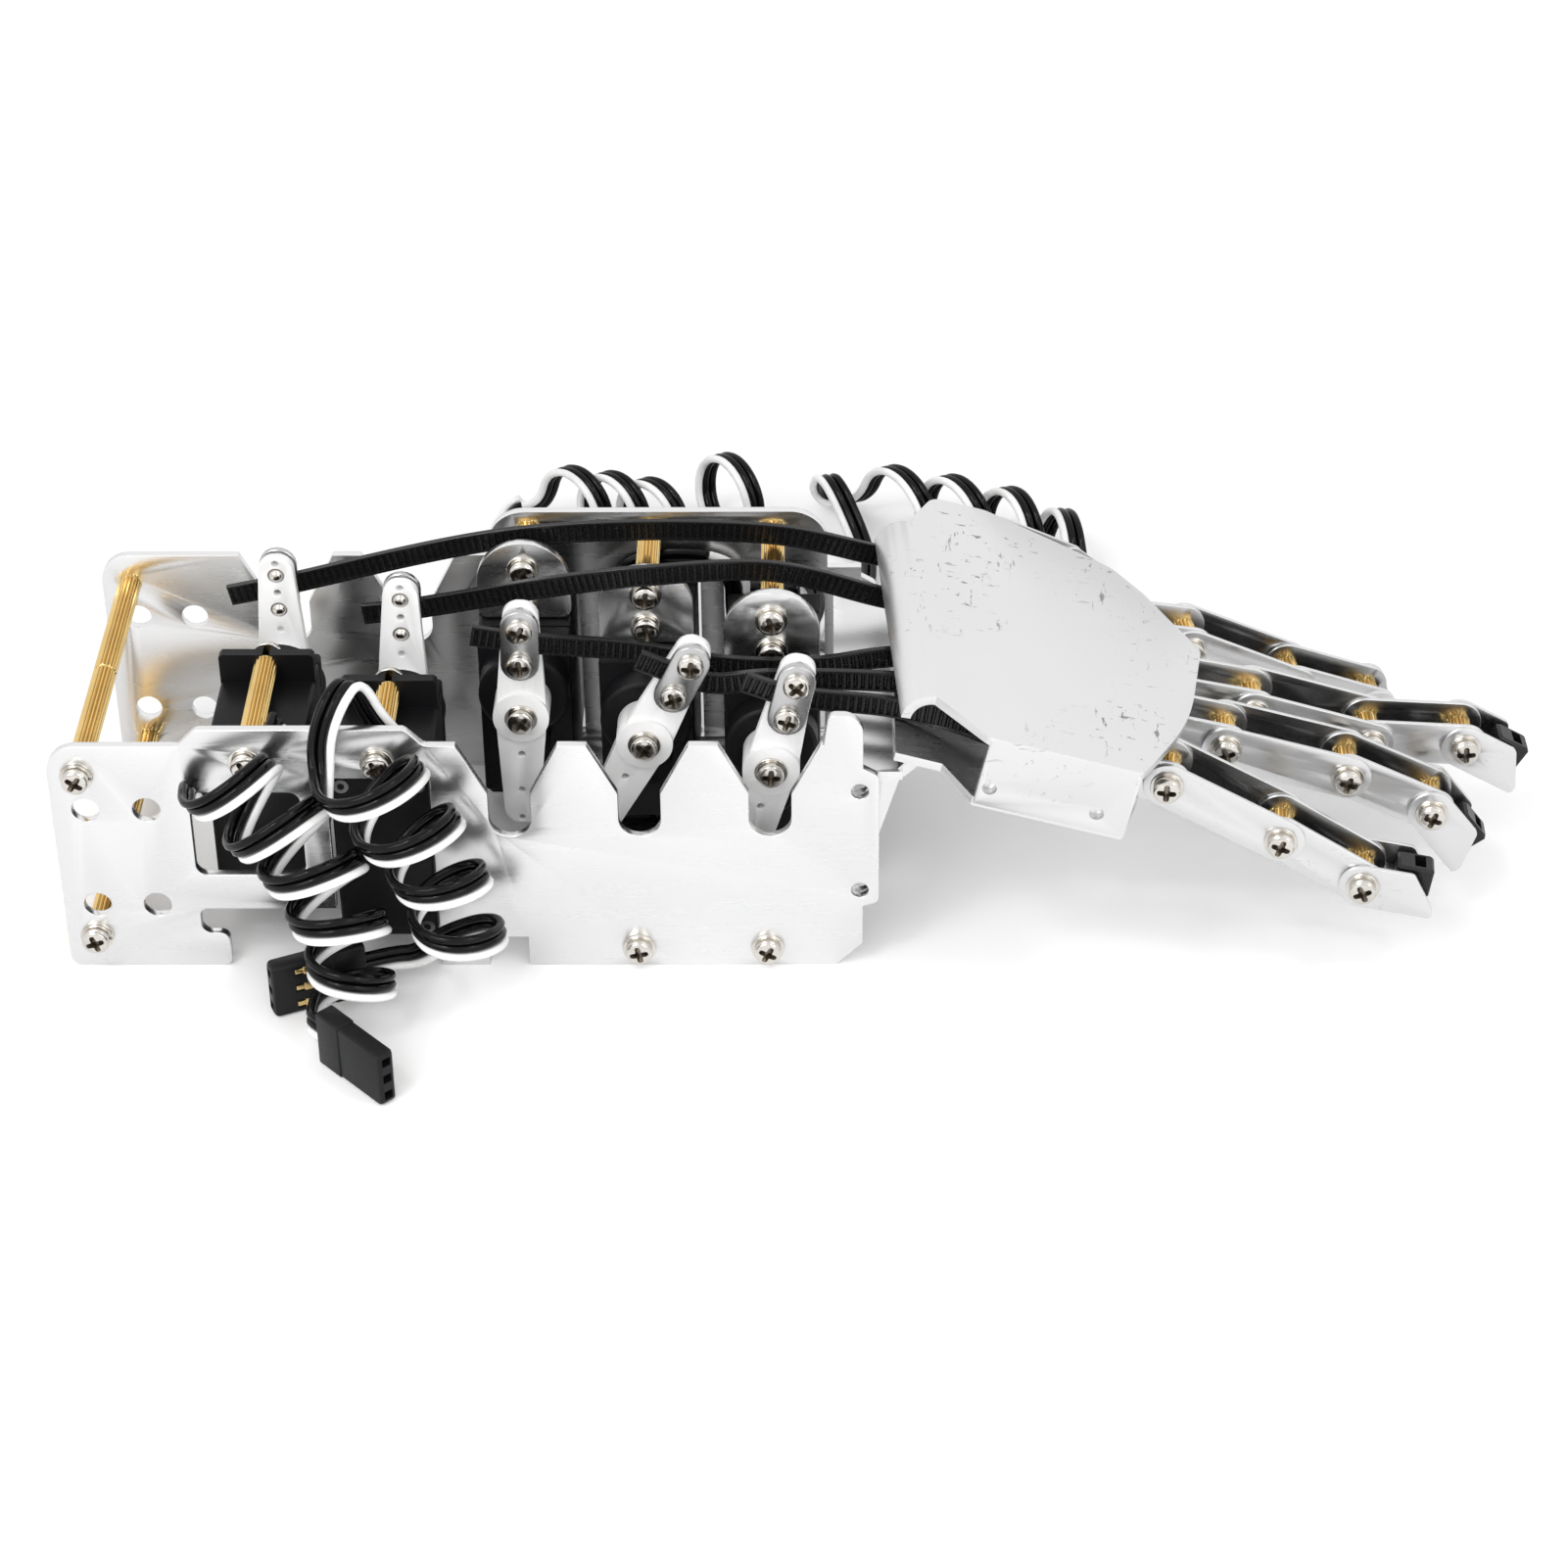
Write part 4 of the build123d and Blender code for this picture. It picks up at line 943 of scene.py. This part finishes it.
def dress(node, look, width, degrees=30, inner=None, bend=0.0):
    """The solid's mesh with bevelled edges. inner is the way into a link's own frame, for the
    shade of its inner faces, and bend the radius of the cover's fold."""
    source = NODES[node]
    mesh = source.data.copy()
    mesh.materials.clear()
    mesh.materials.append(look)
    if inner:
        mesh.materials.append(SHADED)
    clean = bmesh.new()
    clean.from_mesh(mesh)
    bmesh.ops.remove_doubles(clean, verts=clean.verts, dist=2e-6)
    bmesh.ops.dissolve_limit(clean, angle_limit=radians(1.0), verts=clean.verts, edges=clean.edges)
    bmesh.ops.recalc_face_normals(clean, faces=clean.faces)
    if bend:
        picked = []
        for edge in clean.edges:
            middle = SHIFT.inverted() @ ((edge.verts[0].co + edge.verts[1].co) / 2)
            if edge.calc_length() > FOLD_LENGTH and middle.y < FOLD_Y and middle.z > FOLD_Z:
                picked.append(edge)
        bmesh.ops.bevel(
            clean, geom=picked, offset=bend, segments=5, profile=0.5, affect="EDGES",
            clamp_overlap=True,
        )
    for face in clean.faces:
        face.material_index = 1 if inner and is_inner(face, inner) else 0
    clean.to_mesh(mesh)
    clean.free()
    for polygon in mesh.polygons:
        polygon.use_smooth = True
    draft = bpy.data.objects.new(node, mesh)
    bpy.context.scene.collection.objects.link(draft)
    change = draft.modifiers.new("edge", "BEVEL")
    change.width = width
    change.segments = 2
    change.limit_method = "ANGLE"
    change.angle_limit = radians(degrees)
    change.harden_normals = True
    change.use_clamp_overlap = True
    graph = bpy.context.evaluated_depsgraph_get()
    final = bpy.data.meshes.new_from_object(draft.evaluated_get(graph))
    bpy.data.objects.remove(draft)
    made = bpy.data.objects.new(node + "_dressed", final)
    bpy.context.scene.collection.objects.link(made)
    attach(made, BODY[node])
    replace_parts(made, node)
    return made


for node in ("front_side_plate", "rear_side_plate", "floor_plate", "palm_base", "servo_brackets"):
    dress(node, ALUMINIUM, 0.00012)
dress("palm_cover", COVER, 0.00018, bend=0.0011)
dress("metacarpals", CHEEK, 0.00008)
LINKS = ("proximal", "middle", "distal")
THUMB_LINKS = ("proximal", "distal")
CHAINS = [(finger, LINKS, finger_frames(i)[1:]) for i, finger in enumerate(FINGERS)]
for finger, parts, places in CHAINS + [("thumb", THUMB_LINKS, thumb_frames()[1:])]:
    for part, place in zip(parts, places):
        into = (SHIFT @ place @ Matrix.Scale(1000, 4)).inverted()
        dress(f"{finger}_{part}", CHEEK, 0.00009, inner=into)
for number in range(1, 6):
    dress(f"horn_{number}", NYLON, 0.00028, 40)


# Spacers and screws of the forearm
def spacer(shape, x, z, y_low, y_high):
    two_tone(shape, knurled(y_high - y_low), along(x, y_low, z, 1), 0, 1)


bars = Shape()
screws = Shape()
for i, z in enumerate(BAR_Z):
    for low, high in ((-PLATE_INNER, 0.0), (0.0, PLATE_INNER)):
        spacer(bars, BAR_X, z, low, high)
    for side in (-1, 1):
        fasten(screws, along(BAR_X, side * PLATE_OUTER, z, side), 20 + 35 * i, ("flat", "spring"))
for i, x in enumerate(FLOOR_SCREW_X):
    for side in (-1, 1):
        fasten(screws, along(x, side * PLATE_OUTER, FLOOR_SCREW_Z, side), 12 + 50 * i)
KNURL_LOOKS, SCREW_LOOKS = [BRASS, GROOVE_SHADE], [NICKEL, RECESS_SHADE]
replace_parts(show("end_spacers", bars, KNURL_LOOKS, "forearm", 20), "end_standoffs")
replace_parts(show("plate_screws", screws, SCREW_LOOKS, "forearm", 40), "frame_screws")

posts = Shape()
screws = Shape()
nuts = Shape()
for i, x in enumerate(SHAFT_X):
    back = EAR_BACK_Y[i]
    if i < 2:
        spacer(posts, x, FRONT_HOLE_Z, -PLATE_INNER, back)
        fasten(screws, along(x, -PLATE_OUTER, FRONT_HOLE_Z, -1), 30)
        fasten(screws, along(x, back + EAR_T, FRONT_HOLE_Z, 1), 15)
        continue
    z = REAR_HOLE_Z + BRACKET_RISE
    front = back - EAR_T - BRACKET_T
    spacer(posts, x, z, back - EAR_T, PLATE_INNER)
    fasten(screws, along(x, PLATE_OUTER, z, 1), 40)
    fasten(screws, along(x, front, z, -1), 10 + 25 * i)
    fasten(screws, along(x, front, REAR_HOLE_Z, -1), 33 * i)
    nuts.add(NUT, along(x, back, REAR_HOLE_Z, 1))
    nuts.add(turned([(0.98, 0), (0.98, 1.75), (0.8, 1.9)], 16), along(x, back, REAR_HOLE_Z, 1))
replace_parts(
    show("servo_spacers", posts, KNURL_LOOKS, "forearm", 20), "servo_standoffs"
)
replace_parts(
    show("servo_fasteners", screws, SCREW_LOOKS, "forearm", 40), "servo_screws"
)
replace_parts(show("bracket_nuts", nuts, [NICKEL], "forearm"), "servo_nuts")


# Servos
def servo_shape():
    """Micro servo in its own frame: X up the case, Z along the shaft."""
    shape = Shape()
    low, high, half = -17.55, 6.85, 6.1
    hole_in, hole_r = 2.6, 1.1
    shape.add(block(low, high, -half, half, -15.9, -11.35, 0.5, 0.35))
    shape.add(block(low + 0.22, high - 0.22, -half + 0.22, half - 0.22, -11.6, 4.6, 0.4, 0.05))
    shape.add(block(low, high, -half, half, -11.15, 4.25, 0.5, 0.1))
    shape.add(block(low, high, -half, half, 4.43, 6.7, 0.5, 0.3))
    for side in (-1, 1):
        ear = []
        edge = high if side > 0 else low
        out = side * 3.95
        hole = edge + side * hole_in
        tip = edge + out
        chamfer = tip - side * 0.4
        corners = [(edge - side, -half), (chamfer, -half), (tip, -half + 0.4), (tip, -0.45)]
        for i in range(13):
            angle = radians(24 + i * 312 / 12)
            corners.append((hole + side * hole_r * cos(angle), -hole_r * sin(angle)))
        corners += [(tip, 0.45), (tip, half - 0.4), (chamfer, half), (edge - side, half)]
        for z in (0.0, EAR_T):
            ear.append([(x, y, z) for x, y in corners])
        shape.add(loft(ear))
    shape.add(turned([(5.9, 6.2), (5.9, 10.3), (5.6, 10.62), (5.3, 10.7)], 48))
    shape.add(turned([(3.0, 10.6), (3.0, 10.95), (2.9, 11.0)], 32))
    shape.add(turned([(3.2, 6.2), (3.2, 10.4), (2.9, 10.7)], 32), at(-6.9, 0, 0))
    shape.add(block(-6.9, 0, -2.3, 2.3, 6.4, 10.5, 0.5, 0.2))
    teeth = []
    for z, scale in ((10.8, 1.0), (13.8, 1.0), (14.0, 0.92)):
        loop = []
        for i in range(42):
            radius = (2.0 if i % 2 else 1.84) * scale
            loop.append((radius * cos(pi * i / 21), radius * sin(pi * i / 21), z))
        teeth.append(loop)
    shape.add(loft(teeth), None, 2)
    shape.add(block(high - 0.6, high + 0.85, 1.05, 4.95, -13.35, -11.85, 0.2, 0.12, 2))
    for x in (low + 1.35, high - 1.35):
        for y in (-half + 1.35, half - 1.35):
            sink = turned([(0.98, -15.98), (0.98, -15.8), (0.9, -15.7)], 20)
            shape.add(sink, at(x, y, 0), 1)
            # A flat black hexagon on each screw head stands in for its socket: painted shade, with no
            # hole cut.
            shape.add(turned([(0.5, -16.02), (0.5, -15.9)], 6), at(x, y, 0), 0)
    return shape


SERVO = servo_shape()
for number in range(5):
    placed = Shape()
    for look in (0, 1, 2):
        chosen = [face for face, kind in zip(SERVO.faces, SERVO.looks) if kind == look]
        placed.add((SERVO.points, chosen), servo_frame(number), look)
    looks = [CASE, DARK_STEEL, BRASS]
    made = show(f"servo_{number + 1}_case", placed, looks, "forearm", 35)
    clean = bmesh.new()
    clean.from_mesh(made.data)
    loose = [v for v in clean.verts if not v.link_faces]
    bmesh.ops.delete(clean, geom=loose, context="VERTS")
    clean.to_mesh(made.data)
    clean.free()
    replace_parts(made, f"servo_{number + 1}")


# Horn clamps
def stadium(length, width, z, arc=10):
    r = width / 2
    run = length / 2 - r
    loop = []
    for middle, start in ((run, -90), (-run, 90)):
        for i in range(arc + 1):
            angle = radians(start + 180 * i / arc)
            loop.append((middle + r * cos(angle), r * sin(angle), z))
    return loop


for number in range(5):
    place = horn_frame(number)
    base = ARM_TOP + TIE_T
    shape = Shape()
    levels = ((0.1, 0), (0, 0.1), (0, CLAMP_T - 0.16), (0.06, CLAMP_T - 0.05), (0.16, CLAMP_T))
    plate = [stadium(CLAMP_LENGTH - 2 * a, CLAMP_W - 2 * a, base + z) for a, z in levels]
    shape.add(loft(plate), place @ at(CLAMP_R, 0, 0))
    tip = turned([(0.25, -SCREW_TIP), (0.55, -0.36), (0.9, -0.02), (0.98, 0.3)], 16)
    for i, side in enumerate((-1, 1)):
        spot = place @ at(CLAMP_R + side * CLAMP_PITCH / 2, 0, 0)
        fasten(shape, spot @ at(0, 0, base + CLAMP_T), 17 + 40 * number + 63 * i, (), 1, 2)
        shape.add(tip, spot @ at(0, 0, ARM_BASE), 1)
    fasten(shape, place @ at(0, 0, HUB_TOP), 25 * number, ("flat",), 1, 2)
    body = f"horn_arm_{number + 1}"
    looks = [LINK, NICKEL, RECESS_SHADE]
    made = show(f"horn_clamp_{number + 1}_parts", shape, looks, body, 38)
    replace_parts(made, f"horn_clamp_{number + 1}")


# Knuckle pins
def pin(spacers, screws, place, turn):
    two_tone(spacers, knurled(SPACER), place @ along(0, -SPACER / 2, 0, 1), 1, 3)
    for side in (-1, 1):
        fasten(screws, place @ along(0, side * PIN_SEAT, 0, side), turn, recess=2)
        turn += 41


def pins(name, node, places):
    shape = Shape()
    brass = Shape()
    for i, place in enumerate(places):
        pin(brass, shape, place, 23 * i + 10)
    start = len(shape.points)
    shape.points += brass.points
    shape.faces += [tuple(start + i for i in face) for face in brass.faces]
    shape.looks += brass.looks
    looks = [NICKEL, BRASS, RECESS_SHADE, GROOVE_SHADE]
    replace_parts(show(name, shape, looks, BODY[node], 20), node)


ROOTS = [finger_frames(i)[0] for i in range(4)] + [thumb_frames()[0]]
pins("knuckle_pin_parts", "knuckle_pins", ROOTS)
for i, finger in enumerate(FINGERS):
    pins(f"{finger}_pin_parts", f"{finger}_pins", finger_frames(i)[2:4])
pins("thumb_pin_parts", "thumb_pins", thumb_frames()[2:3])


# Cable ties
# Place of a tie's head in its distal link: nearer the knuckle than the solid's, as in the photo.
HEAD_SPOT = (6.3, 0.9)
STRAP_STEP = 0.19
# How deep the strap's back lies at each of the five samples of a ridge and its groove.
RIDGE = (0.08, 0.08, 0.12, 0.40, 0.40)
TIE_TAILS = ((18.2, 32.0), (36.4, 32.9), (51.4, 36.0), (72.9, 36.2), (86.4, 36.8))
TIE_RUNS = (
    ((57.2, 40.9, 14.95), (89.7, 40.9, 15.4), (104.9, 35.5, 18.6)),
    ((60.0, 38.4, 6.2), (68.5, 40.6, 4.7), (73.4, 41.2, 4.6), (89.7, 41.0, 6.0), (104.9, 35.2, 8.6)),
    ((72.0, 33.6, -1.3), (84.0, 32.4, -3.0), (95.0, 32.2, -3.0), (105.6, 33.1, -2.0)),
    ((82.4, 32.6, -7.4), (89.6, 33.2, -7.4), (105.6, 33.1, -8.0)),
    ((104.6, 33.1, -13.6),),
)
TIE_FINGERS = ("thumb", "index", "middle", "ring", "little")


def tie_stations(number):
    """(point, width direction) of each station, and the indexes of wrist and knuckles."""
    level = EAR_BACK_Y[number] + (1 if number < 2 else -1) * (ARM_TOP + TIE_T / 2)
    tilt = radians(HORN_TILT[number])
    shaft = (FRONT_HOLE_Z if number < 2 else REAR_HOLE_Z) - SHAFT_DROP
    grip = Vector((SHAFT_X[number] + CLAMP_R * sin(tilt), level, shaft + CLAMP_R * cos(tilt)))
    tail_x, tail_z = TIE_TAILS[number]
    tail = Vector((tail_x, level, tail_z))
    up = Vector((0, 0, 1))
    stations = [(tail, up), (grip, up)]
    stations += [(Vector((x, y, z)), up) for x, z, y in TIE_RUNS[number]]
    wrist = len(stations) - 1
    finger = TIE_FINGERS[number]
    frames = thumb_frames() if finger == "thumb" else finger_frames(FINGERS.index(finger))
    reach = 8.5 if finger == "thumb" else METACARPAL[FINGERS.index(finger)]
    entry = frames[0] @ Vector((-reach, 0, -STRAP_DROP))
    across = (frames[0].to_3x3() @ Vector((0, 1, 0))).normalized()
    halfway = stations[-1][0] * 0.45 + entry * 0.55 + up
    stations.append((halfway, (across + up).normalized()))
    stations.append((entry, across))
    knuckles = []
    for before, after in zip(frames, frames[1:]):
        lean = ((before.to_3x3() @ up) + (after.to_3x3() @ up)).normalized()
        knuckles.append(len(stations))
        stations.append((after.translation - lean * STRAP_DROP, across))
    last = frames[-1]
    stations.append((last @ Vector((2.6, 0, -1.5)), across))
    stations.append((last @ Vector((HEAD_SPOT[0], 0, HEAD_SPOT[1] - 0.6)), across))
    return stations, wrist, knuckles, frames, finger


def smooth_line(places, step):
    """Even samples of a centripetal curve through places, with each sample's place among them."""
    ends = [places[0] * 2 - places[1]] + places + [places[-1] * 2 - places[-2]]
    raw = []
    for i in range(1, len(ends) - 2):
        p0, p1, p2, p3 = ends[i - 1:i + 3]
        t1 = (p1 - p0).length ** 0.5
        t2 = t1 + (p2 - p1).length ** 0.5
        t3 = t2 + (p3 - p2).length ** 0.5
        count = 24
        for k in range(count):
            t = t1 + (t2 - t1) * k / count
            a1 = p0.lerp(p1, t / t1)
            a2 = p1.lerp(p2, (t - t1) / (t2 - t1))
            a3 = p2.lerp(p3, (t - t2) / (t3 - t2))
            b1 = a1.lerp(a2, t / t2)
            b2 = a2.lerp(a3, (t - t1) / (t3 - t1))
            raw.append((b1.lerp(b2, (t - t1) / (t2 - t1)), i - 1 + k / count))
    raw.append((places[-1], float(len(places) - 1)))
    result = []
    for i, share in even_places([place for place, _ in raw], step):
        (place, where), (after, beyond) = raw[i], raw[i + 1]
        result.append((place.lerp(after, share), where + (beyond - where) * share))
    return result


def strap(samples, stations, start, end):
    """Ridged strap through the samples from start to end."""
    loops = []
    w, t = TIE_W / 2, TIE_T / 2
    rail = w - 0.34
    foot = rail - 0.04
    for i in range(start, end + 1):
        place, where = samples[i]
        ahead = (samples[min(i + 1, len(samples) - 1)][0] - samples[max(i - 1, 0)][0]).normalized()
        low = min(int(where), len(stations) - 2)
        width = stations[low][1].lerp(stations[low + 1][1], ease(where - low))
        width = (width - ahead * width.dot(ahead)).normalized()
        out = ahead.cross(width)
        back = t - RIDGE[i % len(RIDGE)]
        section = (
            (-w, -t + 0.1), (-w + 0.1, -t), (w - 0.1, -t), (w, -t + 0.1), (w, t - 0.08), (w - 0.08, t),
            (rail, t), (foot, back), (-foot, back), (-rail, t), (-w + 0.08, t), (-w, t - 0.08),
        )
        loops.append([tuple(place + width * a + out * b) for a, b in section])
    return loft(loops)


def tie_head():
    """Square head with the slot through it."""
    levels = []
    for inset, z in ((0.25, -2.1), (0.0, -1.8), (0.0, 1.75), (0.3, 2.1)):
        levels.append(round_box(-2.3 + inset, 2.3 - inset, -1.8 + inset, 1.8 - inset, z, 0.35, 3))
    hole = [round_box(-0.2, 1.2, -1.2, 1.2, z, 0.1, 3) for z in (2.1, -2.1)]
    return loft(levels + hole, closed=True)


STRIPS = ("tail", "span", "palm", "second", "third", "tip")


def tie(number):
    """The strap in strips: the tail rides the horn, while the span between horn and forearm and the
    further strips, each spanning one knuckle, are baked in place and ride no body."""
    stations, wrist, knuckles, frames, finger = tie_stations(number)
    samples = smooth_line([place for place, _ in stations], STRAP_STEP)

    def index_at(where):
        return min(range(len(samples)), key=lambda i: abs(samples[i][1] - where))

    node = f"tie_{number + 1}"
    horn = f"horn_arm_{number + 1}"
    grip = samples[index_at(1.0)][0]
    onward = (stations[2][0] - stations[1][0]).normalized()
    past = nearest([place for place, _ in samples], grip + onward * 3.4)
    middles = [index_at((a + b) / 2) for a, b in zip(knuckles, knuckles[1:])]
    cuts = [0, past, index_at(wrist)] + middles + [len(samples) - 1]
    made = []
    for i, (start, end) in enumerate(zip(cuts, cuts[1:])):
        shape = Shape()
        shape.add(strap(samples, stations, start, end))
        if end == len(samples) - 1:
            shape.add(tie_head(), frames[-1] @ at(HEAD_SPOT[0], 0, HEAD_SPOT[1]))
        body = horn if i == 0 else None
        strip = show(f"{node}_{STRIPS[i]}", shape, [STRAP], body, 30)
        if i == 1:
            a = samples[start][0]
            b = samples[end][0]
            tuple(SHIFT @ a.lerp(b, 0.6))
            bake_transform(strip)
        if i >= 2:
            joint = i - 2
            centre = samples[index_at(knuckles[joint])][0]
            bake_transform(strip)
        made.append(strip)
    for strip in made:
        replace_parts(strip, node)


for number in range(5):
    tie(number)

low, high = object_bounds()
{"cad": [list(map(float, p)) for p in CAD_BOX], "visual": [list(map(float, low)), list(map(float, high))]}
